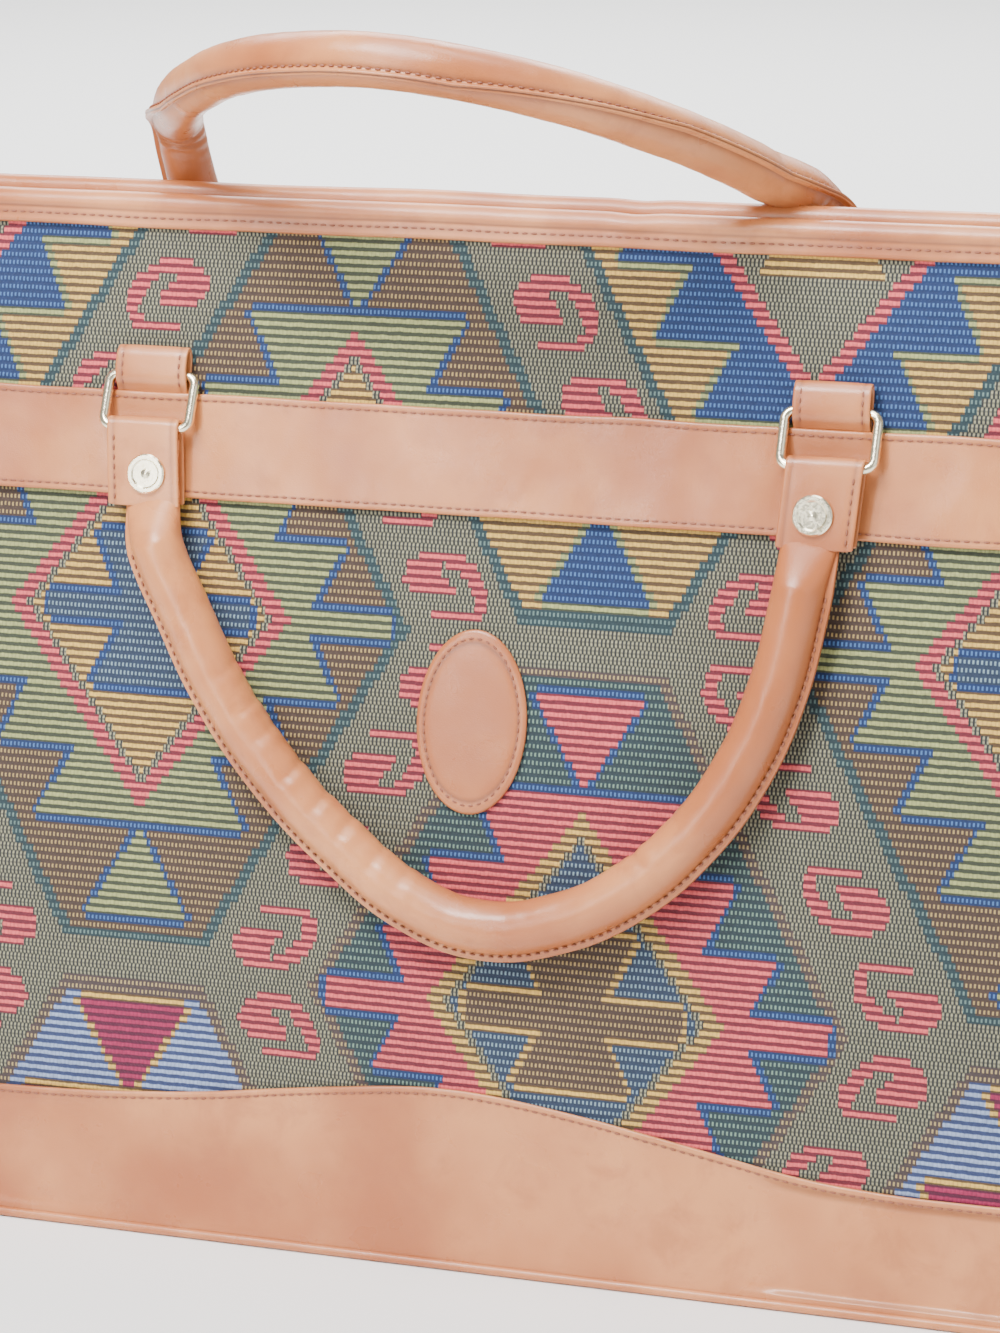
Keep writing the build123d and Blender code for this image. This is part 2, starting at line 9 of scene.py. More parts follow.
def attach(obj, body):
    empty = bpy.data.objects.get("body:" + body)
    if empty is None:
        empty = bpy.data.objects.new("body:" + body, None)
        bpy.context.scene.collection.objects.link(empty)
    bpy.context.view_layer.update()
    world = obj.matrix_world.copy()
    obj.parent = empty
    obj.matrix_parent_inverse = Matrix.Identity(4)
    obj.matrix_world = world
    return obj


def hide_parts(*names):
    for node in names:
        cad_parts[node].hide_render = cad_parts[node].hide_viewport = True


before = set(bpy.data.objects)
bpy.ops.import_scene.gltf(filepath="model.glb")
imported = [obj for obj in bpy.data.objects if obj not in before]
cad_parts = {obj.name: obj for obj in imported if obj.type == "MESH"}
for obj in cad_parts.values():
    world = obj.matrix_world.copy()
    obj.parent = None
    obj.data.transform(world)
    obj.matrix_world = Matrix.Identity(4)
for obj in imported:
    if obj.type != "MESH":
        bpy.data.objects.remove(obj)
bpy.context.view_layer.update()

MM = 0.001

# ---- sizes, in metres ----
HALF_WIDTH = 0.250         # at the foot
SIDE_LEAN = 0.014          # each end slopes in by this much over the height
BAG_HEIGHT = 0.358
HALF_DEPTH = 80 * MM
FACE_RADIUS = 2.33615      # the front is an arc about a line along X
AXIS_Y = 2.23693
AXIS_Z = -0.29901
ROLL_CENTRE = 0.3538       # height of the rolled edge's middle
BINDING_FOOT = 0.346
BAND_FOOT, BAND_TOP = 0.256, 0.291
SEAM = (BAND_FOOT + BAND_TOP) / 2
CLOTH = 1.4 * MM
CLOTH_FOOT = 1.5 * MM
TRIM_FOOT = 2.2 * MM
SIDE_TRIM_TOP = 44 * MM
STRIP_OVERHANG = 1.2 * MM  # leather strips reach this far past the ends of the face
REAR_RISE = 3 * MM         # the rear binding stands this much higher than the front one
RING_X = 0.1207
RING_Z = 0.280
RIB = 2.75 * MM            # from one woven rib to the next
THREAD = 1.44 * MM         # from one warp thread to the next
CREST = 0.22 * MM          # a rib's crest stands out this far, and the dip beside it stands in
STITCH_PITCH = 3.3 * MM
STITCH_LENGTH = 2.3 * MM
STITCH_RADIUS = 0.42 * MM
WELD = 0.002 * MM          # points closer than this are made one
FACE_STEPS, BINDING_STEPS, SIDE_STEPS = 260, 280, 90     # faces along a leather strip


# ---- camera, light and floor ----
SENSOR, LENS = 36, 143     # in millimetres
CAMERA_PLACE = (0.4020, -1.2851, 0.5684)
CAMERA_TURN, CAMERA_TILT, CAMERA_ROLL = radians(17.50), radians(90 - 15.52), radians(-0.47)
SKY_STRENGTH = 0.42
FLOOR_REACH = 6

# name: (width and height, watts, place, the place that it faces)
LIGHTS = {
    "key": ((0.8, 0.5), 52, (-0.35, -0.85, 1.60), (0, 0, 0.2)),
    "strip": ((0.20, 0.9), 12, (-0.52, -1.45, 0.75), (0, 0, 0.2)),
    "fill": ((1.2, 1.2), 6, (1.5, -0.9, 0.8), (0, 0, 0.2)),
    "back": ((1.4, 1.0), 16, (0.3, 1.5, 1.2), (0, 0, 0.2)),
    "top": ((0.9, 0.5), 12, (0.0, -0.1, 1.5), (0, 0, 0.3)),
    "floor": ((3.0, 3.0), 230, (-0.9, 2.6, 2.2), (-0.9, 2.8, 0)),
}


def make_camera():
    data = bpy.data.cameras.new("camera")
    data.sensor_fit = "HORIZONTAL"
    data.sensor_width = SENSOR
    data.lens = LENS
    camera = bpy.data.objects.new("camera", data)
    bpy.context.collection.objects.link(camera)
    camera.matrix_world = (
        Matrix.Translation(CAMERA_PLACE)
        @ Matrix.Rotation(CAMERA_TURN, 4, "Z")
        @ Matrix.Rotation(CAMERA_TILT, 4, "X")
        @ Matrix.Rotation(CAMERA_ROLL, 4, "Z")
    )
    bpy.context.scene.camera = camera


def make_light(name, size, watts, place, target):
    data = bpy.data.lights.new(name, "AREA")
    data.shape = "RECTANGLE"
    data.size, data.size_y = size
    data.energy = watts
    lamp = bpy.data.objects.new(name, data)
    bpy.context.collection.objects.link(lamp)
    lamp.location = place
    lamp.rotation_euler = (Vector(target) - Vector(place)).to_track_quat("-Z", "Y").to_euler()


def make_studio():
    world = bpy.data.worlds.new("studio")
    bpy.context.scene.world = world
    world.use_nodes = True
    sky = world.node_tree.nodes["Background"].inputs
    sky["Color"].default_value = (1, 1, 1, 1)
    sky["Strength"].default_value = SKY_STRENGTH
    for name, settings in LIGHTS.items():
        make_light(name, *settings)
    bm = bmesh.new()
    bmesh.ops.create_grid(bm, x_segments=1, y_segments=1, size=FLOOR_REACH)
    floor = finish_mesh("floor", bm, [floor_paint()])


# ---- material helpers ----
class Paint:
    """A node material with short calls for its nodes."""

    def __init__(self, name):
        self.material = bpy.data.materials.new(name)
        self.material.use_nodes = True
        self.nodes = self.material.node_tree.nodes
        self.links = self.material.node_tree.links
        self.shader = self.nodes["Principled BSDF"]

    def add(self, kind, values=None, **settings):
        node = self.nodes.new("ShaderNode" + kind)
        for key, value in settings.items():
            setattr(node, key, value)
        for key, value in (values or {}).items():
            self.plug(node.inputs[key], value)
        return node

    def plug(self, socket, value):
        if isinstance(value, bpy.types.NodeSocket):
            self.links.new(value, socket)
        else:
            socket.default_value = value

    def set(self, **values):
        for key, value in values.items():
            self.plug(self.shader.inputs[key.replace("_", " ").title()], value)

    def math(self, operation, a, b=0.0, c=0.0):
        return self.add("Math", {0: a, 1: b, 2: c}, operation=operation).outputs[0]

    def place(self):
        return self.add("TexCoord").outputs["Object"]

    def noise(self, scale, detail=2.0, rough=0.5, distort=0.0):
        values = {"Vector": self.place(), "Scale": scale, "Detail": detail, "Roughness": rough}
        values["Distortion"] = distort
        return self.add("TexNoise", values).outputs[0]

    def cells(self, scale):
        return self.add("TexVoronoi", {"Vector": self.place(), "Scale": scale}).outputs["Distance"]

    def step(self, value, low, high, to_low=0.0, to_high=1.0):
        """Value turned smoothly from to_low to to_high as it goes from low to high."""
        inputs = {"Value": value, 1: low, 2: high, 3: to_low, 4: to_high}
        return self.add("MapRange", inputs, interpolation_type="SMOOTHSTEP").outputs[0]

    def mix(self, share, a, b, blend="MIX"):
        node = self.add("Mix", data_type="RGBA", blend_type=blend)
        for socket, value in zip((node.inputs[0], node.inputs[6], node.inputs[7]), (share, a, b)):
            self.plug(socket, value)
        return node.outputs[2]

    def attribute(self, name):
        return self.add("Attribute", attribute_name=name)

    def bump(self, height, distance, strength=1.0):
        values = {"Height": height, "Distance": distance, "Strength": strength}
        self.plug(self.shader.inputs["Normal"], self.add("Bump", values).outputs[0])


def rgb(red, green, blue):
    """A colour given as it looks on a screen, from 0 to 255."""
    levels = (level / 255 for level in (red, green, blue))
    return (*((c / 12.92 if c < 0.04045 else ((c + 0.055) / 1.055) ** 2.4) for c in levels), 1.0)


def leather_paint():
    """Tan leather with a fine grain, soft blotches, painted shade in grooves and creases, and a satin gloss.
    """
    p = Paint("tan_leather")
    deep, pale = rgb(168, 94, 50), rgb(206, 134, 82)
    # the second of these colours is painted shade for grooves, creases, edges and tucked-in sides
    streaked, painted_shade_colour = rgb(162, 90, 50), rgb(104, 52, 30)
    blotch = p.noise(14, 3)
    streak = p.noise(55, 4, 0.6, distort=0.4)
    base = p.mix(p.step(blotch, 0.35, 0.68), deep, pale)
    base = p.mix(p.step(streak, 0.45, 0.75, 0, 0.5), base, streaked)
    # painted shade: where the shade attribute is set, the colour darkens towards the shade colour above
    shade = p.attribute("shade").outputs["Fac"]
    base = p.mix(p.step(shade, 0.0, 1.0), base, painted_shade_colour)
    p.set(base_color=base, roughness=p.step(p.noise(60, 3), 0.3, 0.7, 0.26, 0.40))
    p.shader.inputs["Specular IOR Level"].default_value = 0.5
    p.shader.inputs["Coat Weight"].default_value = 0.12
    p.shader.inputs["Coat Roughness"].default_value = 0.25
    grain = p.step(p.cells(1500), 0.0, 0.55)
    fine = p.noise(3200, 2)
    folds = p.noise(130, 3, 0.6, distort=0.8)
    slack = p.noise(34, 2, 0.4, distort=0.5)
    height = p.math("MULTIPLY_ADD", grain, 0.5, p.math("MULTIPLY_ADD", folds, 1.6, fine))
    p.bump(p.math("MULTIPLY_ADD", slack, 22.0, height), 0.07 * MM, 0.6)
    return p.material


def thread_paint():
    """Twisted brown sewing thread."""
    p = Paint("brown_thread")
    twist = p.noise(2600, 2)
    p.set(base_color=p.mix(twist, rgb(112, 62, 44), rgb(158, 98, 74)), roughness=0.75)
    p.bump(twist, 0.05 * MM)
    return p.material


def tapestry_paint():
    """Ribbed cloth: yarn colour in ribs, dots or a check over a ground colour with painted shade."""
    p = Paint("tapestry")
    across = p.add("SeparateXYZ", {0: p.add("UVMap", uv_map="threads").outputs[0]}).outputs
    row = p.math("FLOOR", across[1])
    odd = p.math("MULTIPLY", p.math("PINGPONG", row, 1.0), 0.5)

    def wave(value, turns):
        angle = p.math("MULTIPLY", value, 2 * pi * turns)
        return p.math("MULTIPLY_ADD", p.math("COSINE", angle), -0.5, 0.5)

    wobble = p.math("MULTIPLY", p.noise(400, 2), 0.22)
    rib = wave(p.math("ADD", across[1], p.math("SUBTRACT", wobble, 0.11)), 1)
    fine_rib = wave(across[1], 2)
    stitch = wave(p.math("ADD", across[0], odd), 1)
    ribbed = p.math("MULTIPLY", p.step(rib, 0.30, 0.74), p.step(stitch, 0.0, 0.5, 0.78, 1.0))
    dotted = p.math("MULTIPLY", p.step(rib, 0.35, 0.75), p.step(stitch, 0.4, 0.75))
    checked = p.math("MULTIPLY", p.step(fine_rib, 0.2, 0.7, 0.45, 1.0), p.step(stitch, 0.3, 0.7, 0.0, 1.0))
    weave = p.attribute("weave").outputs["Fac"]
    is_dotted = p.math("COMPARE", weave, DOTS, 0.3)
    is_checked = p.math("COMPARE", weave, CHECK, 0.3)
    shown = p.mix(is_checked, p.mix(is_dotted, ribbed, dotted), checked)
    # the ground colour is the lower thread's colour darkened with painted shade of the dips between ribs
    colour = p.mix(shown, p.attribute("ground").outputs["Color"], p.attribute("yarn").outputs["Color"])
    slub = p.step(p.noise(700, 2), 0.3, 0.75, 0.86, 1.12)
    worn = p.step(p.noise(16, 3), 0.3, 0.75, 0.92, 1.07)
    tone = p.math("MULTIPLY", slub, worn)
    colour = p.mix(1.0, colour, p.add("CombineColor", {0: tone, 1: tone, 2: tone}).outputs[0], "MULTIPLY")
    p.set(base_color=colour, roughness=0.88)
    p.shader.inputs["Sheen Weight"].default_value = 0.15
    fuzz = p.noise(4200, 2)
    height = p.math("MULTIPLY_ADD", rib, 0.6, p.math("MULTIPLY", fuzz, 0.35))
    height = p.math("MULTIPLY_ADD", stitch, 0.35, height)
    p.bump(height, 0.35 * MM, 0.8)
    return p.material


def metal_paint(name, light, dark, roughness):
    """Bright metal with faint cloudy tarnish."""
    p = Paint(name)
    tarnish = p.step(p.noise(350, 4, 0.6), 0.5, 0.8, 0, 0.5)
    p.set(base_color=p.mix(tarnish, light, dark), metallic=1.0)
    p.set(roughness=p.step(p.noise(900, 3), 0.3, 0.8, roughness, roughness + 0.14))
    p.bump(p.noise(2500, 2), 0.02 * MM, 0.3)
    return p.material


def plain_paint(name, light, dark, scale, roughness, depth):
    """An uneven plain finish. A higher scale is finer, and depth is how deep its bumps are."""
    p = Paint(name)
    p.set(base_color=p.mix(p.step(p.noise(scale, 3), 0.3, 0.7), dark, light), roughness=roughness)
    p.bump(p.noise(scale * 6, 2), depth)
    return p.material


def woven_paint(name, light, dark, pitch):
    """Plain woven cloth for the lining and the zip tapes."""
    p = Paint(name)
    axes = p.add("SeparateXYZ", {0: p.place()}).outputs
    turns = 2 * pi / pitch
    warp = p.math("SINE", p.math("MULTIPLY", axes[0], turns))
    weft = p.math("SINE", p.math("MULTIPLY", p.math("ADD", axes[1], axes[2]), turns))
    weave = p.math("MULTIPLY_ADD", p.math("MULTIPLY", warp, weft), 0.5, 0.5)
    p.set(base_color=p.mix(weave, dark, light), roughness=0.9)
    p.bump(weave, 0.15 * MM)
    return p.material


def floor_paint():
    p = Paint("floor")
    p.set(base_color=(0.93, 0.93, 0.92, 1), roughness=0.6)
    return p.material


# ---- mesh helpers ----
def finish_mesh(name, bm, materials):
    mesh = bpy.data.meshes.new(name)
    bm.to_mesh(mesh)
    bm.free()
    for material in materials:
        mesh.materials.append(material)
    mesh.shade_smooth()
    piece = bpy.data.objects.new(name, mesh)
    bpy.context.collection.objects.link(piece)
    return piece


def settle(piece, body, slot, *nodes):
    """Ties a finished piece to its body and hides the nodes that it stands for. slot is not used."""
    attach(piece, body)
    if nodes:
        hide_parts(*nodes)
    return piece


def smoother(piece):
    modifier = piece.modifiers.new("smooth", "SUBSURF")
    modifier.levels = modifier.render_levels = 1
    return piece


def ripple(x, z, pitch, seed):
    """Even, repeatable unevenness from -1 to 1."""
    return noise.noise(Vector((x / pitch, z / pitch, seed)))


def ramp(value, start, length):
    """From 0 at the start to 1 a length further on."""
    return float(np.clip((value - start) / length, 0, 1))


def looped_strip(name, steps, profile, place, materials, closed=False):
    """A profile carried along a path, with its ends filled unless the path is closed.

    place(share of the path, profile point) gives the point in space and its painted shade.
    """
    bm = bmesh.new()
    across = len(profile)
    shade = bm.verts.layers.float.new("shade")
    grid = bmesh.ops.create_grid(bm, x_segments=steps, y_segments=across, size=0.5)["verts"]
    for v in grid:
        share, turn = v.co.x + 0.5, v.co.y + 0.5
        v.co, v[shade] = place(share, profile[round(turn * across) % across])
    bmesh.ops.remove_doubles(bm, verts=bm.verts, dist=WELD)
    if not closed:
        ends = [e for e in bm.edges if e.is_boundary]
        bmesh.ops.holes_fill(bm, edges=ends, sides=0)
    bmesh.ops.recalc_face_normals(bm, faces=bm.faces)
    return finish_mesh(name, bm, materials)


def rear_mesh(piece):
    """The mesh of a front piece turned over to the rear."""
    bm = bmesh.new()
    bm.from_mesh(piece.data)
    bmesh.ops.scale(bm, vec=(1, -1, 1), verts=bm.verts)
    bmesh.ops.reverse_faces(bm, faces=bm.faces)
    return bm


def rear_copy(piece, name):
    return finish_mesh(name, rear_mesh(piece), list(piece.data.materials))


def turn_to_rear(piece):
    """Moves a finished front piece to the rear."""
    bm = rear_mesh(piece)
    bm.to_mesh(piece.data)
    bm.free()


def smooth_path(points, count):
    """Evenly spaced points along a smooth curve through the given ones."""
    data = bpy.data.curves.new("route", "CURVE")
    data.dimensions = "3D"
    data.resolution_u = 24
    spline = data.splines.new("BEZIER")
    spline.bezier_points.add(len(points) - 1)
    for knot, point in zip(spline.bezier_points, points):
        knot.co = point
        knot.handle_left_type = knot.handle_right_type = "AUTO"
    carrier = bpy.data.objects.new("route", data)
    bpy.context.collection.objects.link(carrier)
    mesh = bpy.data.meshes.new_from_object(carrier)
    line = np.array([v.co[:] for v in mesh.vertices])
    bpy.data.objects.remove(carrier)
    run = np.concatenate([[0], np.cumsum(np.linalg.norm(np.diff(line, axis=0), axis=1))])
    wanted = np.linspace(0, run[-1], count)
    return [Vector([np.interp(w, run, line[:, k]) for k in range(3)]) for w in wanted]


def path_length(points):
    return sum((Vector(b) - Vector(a)).length for a, b in zip(points, points[1:]))


def stitches(name, body, route, outward, pitch=STITCH_PITCH, length=STITCH_LENGTH):
    """Sewing thread in short stitches along a route. outward(point) is the way it faces."""
    points = smooth_path(route, max(3, round(path_length(route) / pitch) * 2 + 1))
    bm = bmesh.new()
    for k in range(1, len(points) - 1, 2):
        along = (points[k + 1] - points[k - 1]).normalized()
        side = Vector(outward(points[k])).cross(along).normalized()
        turn = Matrix((along, side, along.cross(side))).transposed().to_4x4()
        size = Matrix.Diagonal((length / 2, STITCH_RADIUS, STITCH_RADIUS, 1))
        place = Matrix.Translation(points[k]) @ turn @ size
        bmesh.ops.create_uvsphere(bm, u_segments=6, v_segments=5, radius=1, matrix=place)
    piece = finish_mesh(name, bm, [THREAD_PAINT])
    return settle(piece, body, "tan_leather")


# ---- the soft front face ----
RING_HOLD = (0.045, 0.05)  # how far across and up a ring keeps the cloth tight
FOOT_HOLD, TOP_HOLD = 0.06, 0.03
LONG_WAVE, SHORT_WAVE = 1.1 * MM, 0.35 * MM


def slump(x, z):
    """How far the soft front stands out from its plain arc, none near the rings."""
    across, up = (np.abs(x) - RING_X) / RING_HOLD[0], (z - RING_Z) / RING_HOLD[1]
    free = 1 - np.exp(-(across**2) - up**2)
    hold = np.clip(z / FOOT_HOLD, 0, 1) * np.clip((BAG_HEIGHT - z) / TOP_HOLD, 0, 1)
    long_wave = 1 + np.sin(x * 31 + 0.7) * np.sin(z * 19 + 0.4)
    short_wave = 1 + np.sin(x * 57 + z * 23 + 1.9)
    return (LONG_WAVE * long_wave + SHORT_WAVE * short_wave) * free * hold


def face_y(z):
    """How far forward the plain arc of the front stands at a height."""
    return AXIS_Y - np.sqrt(FACE_RADIUS**2 - (z - AXIS_Z) ** 2)


def face_place(x, z, out=0.0):
    """Arrays or numbers in, coordinates out: a place on the front cloth, at a height on it."""
    angle = np.arcsin((z - AXIS_Z) / FACE_RADIUS)
    radius = FACE_RADIUS + out + slump(x, z)
    return x, AXIS_Y - radius * np.cos(angle), AXIS_Z + radius * np.sin(angle)


def on_face(x, z, out=0.0):
    return Vector([float(c) for c in face_place(x, z, out)])


def face_normal(point):
    angle = asin((point[2] - AXIS_Z) / FACE_RADIUS)
    return (0, -cos(angle), sin(angle))


def rear_normal(point):
    normal = face_normal(point)
    return (0, -normal[1], normal[2])


def half_width(z):
    return HALF_WIDTH - SIDE_LEAN * z / BAG_HEIGHT


# ---- the woven pattern: stepped crosses in six-sided cells ----
RIBS, DOTS, CHECK = 0, 1, 2
YARNS = {
    # name: (yarn on top, ground below with painted shade of the dips, how the yarn shows)
    "gold": (rgb(206, 166, 78), rgb(78, 58, 34), RIBS),
    "celadon": (rgb(150, 154, 98), rgb(52, 58, 42), RIBS),
    "coral": (rgb(216, 88, 90), rgb(98, 24, 40), RIBS),
    "magenta": (rgb(144, 30, 72), rgb(76, 14, 44), RIBS),
    "pale_blue": (rgb(136, 152, 184), rgb(42, 54, 92), RIBS),
    "brown": (rgb(156, 132, 84), rgb(62, 46, 38), DOTS),
    "deep_teal": (rgb(100, 126, 112), rgb(30, 46, 52), DOTS),
    "edge_teal": (rgb(88, 112, 108), rgb(28, 48, 54), DOTS),
    "edge_brown": (rgb(158, 138, 92), rgb(62, 50, 50), DOTS),
    "royal": (rgb(62, 100, 152), rgb(15, 38, 80), DOTS),
    "navy": (rgb(112, 136, 148), rgb(32, 46, 68), DOTS),
    "check": (rgb(140, 137, 110), rgb(36, 38, 38), CHECK),
}
YARN_NAMES = list(YARNS)

# a cell's edge, ground, cross body, body outline, diamond, diamond's fill, inner cross, its outline
CELLS = {
    "a": ("edge_teal", "brown", "celadon", "royal", "coral", "gold", "navy", "royal"),
    "b": ("edge_teal", "gold", "royal", "celadon", "coral", "check", "gold", "check"),
    "c": ("edge_brown", "deep_teal", "coral", "royal", "gold", "navy", "brown", "gold"),
    "d": ("edge_brown", "pale_blue", "magenta", "gold", "celadon", "deep_teal", "coral", "gold"),
}
CELL_START = (-118 * MM, 217 * MM)
CELL_STEP = (324 * MM, 486 * MM)
CELL_NEXT = 122 * MM       # from a cell up to the middle of the cells beside it
CELL_PLACES = {"a": (0, 0), "b": (161 * MM, 119 * MM), "c": (161 * MM, -124 * MM), "d": (0, -243 * MM)}
CELL_HALF_HEIGHT = 115 * MM
CELL_WIDE = 96 * MM
CELL_NARROW = 26 * MM
EDGE = 4.5 * MM
OUTLINE = 2.3 * MM
SCROLL_STEP = 31 * MM
UPPER_SHIFT = (70 * MM, 30 * MM)     # the upper strips are cut from another place in the pattern
REAR_SHIFT = 55 * MM
GUSSET_SHIFT = (20 * MM, 60 * MM)

# outlines in millimetres from a cell's middle, for the quarter right of and above it
BODY = [(0, 0), (0, 74), (40, 74), (25.5, 48), (54.5, 48), (44, 25), (71, 25), (60, 5), (89, 5), (89, 0)]
HOURGLASS = [(0, 75), (19.5, 106), (0, 106)]
DIAMOND = [(0, 0), (53, 0), (0, 68)]
DIAMOND_GAP = [(0, 0), (46.5, 0), (0, 60)]
DIAMOND_FILL = [(0, 0), (44, 0), (0, 56.5)]
INNER_CROSS = [(0, 0), (38, 0), (38, 5), (10, 5), (21, 26), (0, 26)]
SCROLL = [
    (-3, 4), (11, 4), (15.5, -1), (14.5, -7), (8.5, -11), (-3.5, -11), (-11, -6), (-15, 1), (-15, 7),
    (-11.5, 11.4), (5.5, 11.4), (5.5, 8.6), (-8.5, 8.6), (-10.5, 6), (-9.5, 1.5), (-3.5, -5.5), (1.5, -7),
    (3, -5), (-3, 1.5),
]


def inside(outline, u, v):
    """Which of the places u, v lie inside an outline given in millimetres."""
    found = np.zeros(u.shape, bool)
    for (x0, y0), (x1, y1) in zip(outline, outline[1:] + outline[:1]):
        crosses = (v < y0 * MM) != (v < y1 * MM)
        reach = (v - y0 * MM) / ((y1 - y0) or 1) * (x1 - x0) + x0 * MM
        found ^= crosses & (u < reach)
    return found


def grown(outline, u, v):
    """The same, with an outline one rib and a little more than a thread wider all round."""
    found = inside(outline, u, v)
    for du, dv in ((OUTLINE, 0), (-OUTLINE, 0), (0, RIB), (0, -RIB)):
        found |= inside(outline, np.abs(u + du), np.abs(v + dv))
    return found


def cell_reach(v):
    """Half the width of a six-sided cell at a height from its middle."""
    share = np.clip(np.abs(v) / CELL_HALF_HEIGHT, 0, 1)
    return CELL_WIDE + (CELL_NARROW - CELL_WIDE) * share


def wrap(value, step):
    return (value + step / 2) % step - step / 2


def weave_pattern(x, z, shift):
    """The yarn, as a number in YARN_NAMES, at each place on the cloth."""
    start_x, start_z = CELL_START[0] + shift[0], CELL_START[1] + shift[1]
    step_x, step_z = CELL_STEP
    half_step = step_z / 2
    yarn = np.full(x.shape, YARN_NAMES.index("check"))
    from_column = np.abs(wrap(x - start_x, step_x))
    row = np.round((z - start_z) / SCROLL_STEP)
    for near in (-1, 0, 1):
        height = start_z + (row + near + 0.5) * SCROLL_STEP
        this_cell = cell_reach(wrap(height - start_z, half_step))
        next_cell = cell_reach(wrap(height - start_z + CELL_NEXT, half_step))
        middle = (step_x / 2 + this_cell - next_cell) / 2
        facing = np.where(np.mod(height - start_z, half_step) < half_step / 2, -1, 1)
        found = inside(SCROLL, middle - from_column, (z - height) * facing)
        yarn[found] = YARN_NAMES.index("coral")
    for kind, (dx, dz) in CELL_PLACES.items():
        u = np.abs(wrap(x - start_x - dx, step_x))
        v = np.abs(wrap(z - start_z - dz, step_z))
        edge, ground, body, outline, diamond, fill, cross, cross_line = (
            YARN_NAMES.index(name) for name in CELLS[kind]
        )
        yarn[(v < CELL_HALF_HEIGHT) & (u < cell_reach(v))] = edge
        yarn[(v < CELL_HALF_HEIGHT - EDGE) & (u < cell_reach(v) - EDGE)] = ground
        for shape in (HOURGLASS, BODY):
            yarn[grown(shape, u, v)] = outline
        for shape in (HOURGLASS, BODY):
            yarn[inside(shape, u, v)] = body
        yarn[inside(DIAMOND, u, v)] = diamond
        yarn[inside(DIAMOND_GAP, u, v)] = YARN_NAMES.index("check")
        yarn[inside(DIAMOND_FILL, u, v)] = fill
        yarn[grown(INNER_CROSS, u, v) & inside(DIAMOND_FILL, u, v)] = cross_line
        yarn[inside(INNER_CROSS, u, v)] = cross
    return yarn


# ---- tapestry panels ----
BACK_COARSENESS = 12       # faces of the front, along and across, to one of the back


def tapestry_panel(name, columns, ribs, place, weave_place, shift, material):
    """A fine front grid, two rows of faces to a rib, closed by a coarse back."""
    rows = 2 * ribs
    bm = bmesh.new()
    bmesh.ops.create_grid(bm, x_segments=columns, y_segments=rows, size=0.5)
    back = bmesh.ops.create_grid(
        bm,
        x_segments=columns // BACK_COARSENESS,
        y_segments=rows // BACK_COARSENESS,
        size=0.5,
        matrix=Matrix.Translation((0, 0, -1)),
    )["verts"]
    bmesh.ops.reverse_faces(bm, faces=list({f for v in back for f in v.link_faces}))
    rims = [e for e in bm.edges if e.is_boundary]
    bmesh.ops.bridge_loops(bm, edges=rims)
    piece = finish_mesh(name, bm, [material])
    mesh = piece.data
    flat = np.zeros(len(mesh.vertices) * 3)
    mesh.vertices.foreach_get("co", flat)
    flat = flat.reshape(-1, 3)
    u, v = flat[:, 0] + 0.5, flat[:, 1] + 0.5
    is_back = flat[:, 2] < -0.5
    crest = np.where(np.round(v * rows).astype(int) % 2 == 1, CREST, -CREST)
    inner = (v > 0.5 / rows) & (v < 1 - 0.5 / rows)
    out = np.where(is_back, -CLOTH, np.where(inner, crest, 0))
    moved = np.stack(place(u, v, out), axis=-1)
    mesh.vertices.foreach_set("co", moved.ravel())

    corner_vertex = np.zeros(len(mesh.loops), np.int32)
    mesh.loops.foreach_get("vertex_index", corner_vertex)
    face_size = np.array([p.loop_total for p in mesh.polygons])
    face_of_corner = np.repeat(np.arange(len(face_size)), face_size)

    def face_mean(values):
        return np.bincount(face_of_corner, values[corner_vertex]) / face_size

    column_middle = (np.floor(face_mean(u) * columns) + 0.5) / columns
    rib_middle = (np.floor(face_mean(v) * ribs) + 0.5) / ribs
    yarn = weave_pattern(*weave_place(column_middle, rib_middle), shift)
    for which, attribute in enumerate(("yarn", "ground")):
        table = np.array([YARNS[n][which] for n in YARN_NAMES])
        layer = mesh.attributes.new(attribute, "FLOAT_COLOR", "FACE")
        layer.data.foreach_set("color", table[yarn].ravel())
    table = np.array([YARNS[n][2] for n in YARN_NAMES], float)
    mesh.attributes.new("weave", "FLOAT", "FACE").data.foreach_set("value", table[yarn])

    threads = np.stack([weave_place(u, v)[0] / THREAD, v * ribs], -1)[corner_vertex]
    mesh.uv_layers.new(name="threads").data.foreach_set("uv", threads.ravel())
    on_front = (face_mean(is_back) == 0)[face_of_corner]
    bake = np.stack([u, v], -1)[corner_vertex]
    bake[:, 1] = np.where(on_front, 0.95 * bake[:, 1], 0.96 + 0.04 * bake[:, 1])
    mesh.uv_layers.new(name="OFBake").data.foreach_set("uv", bake.ravel())
    mesh.update()
    return piece


def front_strip(name, low, high, columns, shift, material, rise):
    """A panel across the front face, from the height low to high, its top edge raised by rise."""
    ribs = round((high - low) / RIB)

    def weave_place(u, v):
        z = low + (high - low) * v
        return (2 * u - 1) * half_width(z), z

    def place(u, v, out):
        x, z = weave_place(u, v)
        return face_place(x, z + rise * v, out)

    return tapestry_panel(name, columns, ribs, place, weave_place, shift, material)


def gusset(name, low, high, sign, material):
    """An end panel that tapers with the bag and billows out between its creases."""

    def weave_place(u, v):
        z = low + (high - low) * v
        return (2 * u - 1) * (-face_y(z) - 1.6 * MM), z

    def place(u, v, out):
        y, z = weave_place(u, v)
        across = 2 * u - 1
        creased = 1 + 0.35 * np.cos(across * 9 + z * 14)
        swell = np.clip(1 - across**2, 0, 1) * np.sin(pi * np.clip(z / high, 0, 1)) ** 0.7
        billow = 2.6 * MM * swell * creased
        return sign * (half_width(z) + out + billow - 0.1 * MM), y * sign, z

    columns, ribs = round(2 * HALF_DEPTH / THREAD), round((high - low) / RIB)
    return tapestry_panel(name, columns, ribs, place, weave_place, GUSSET_SHIFT, material)


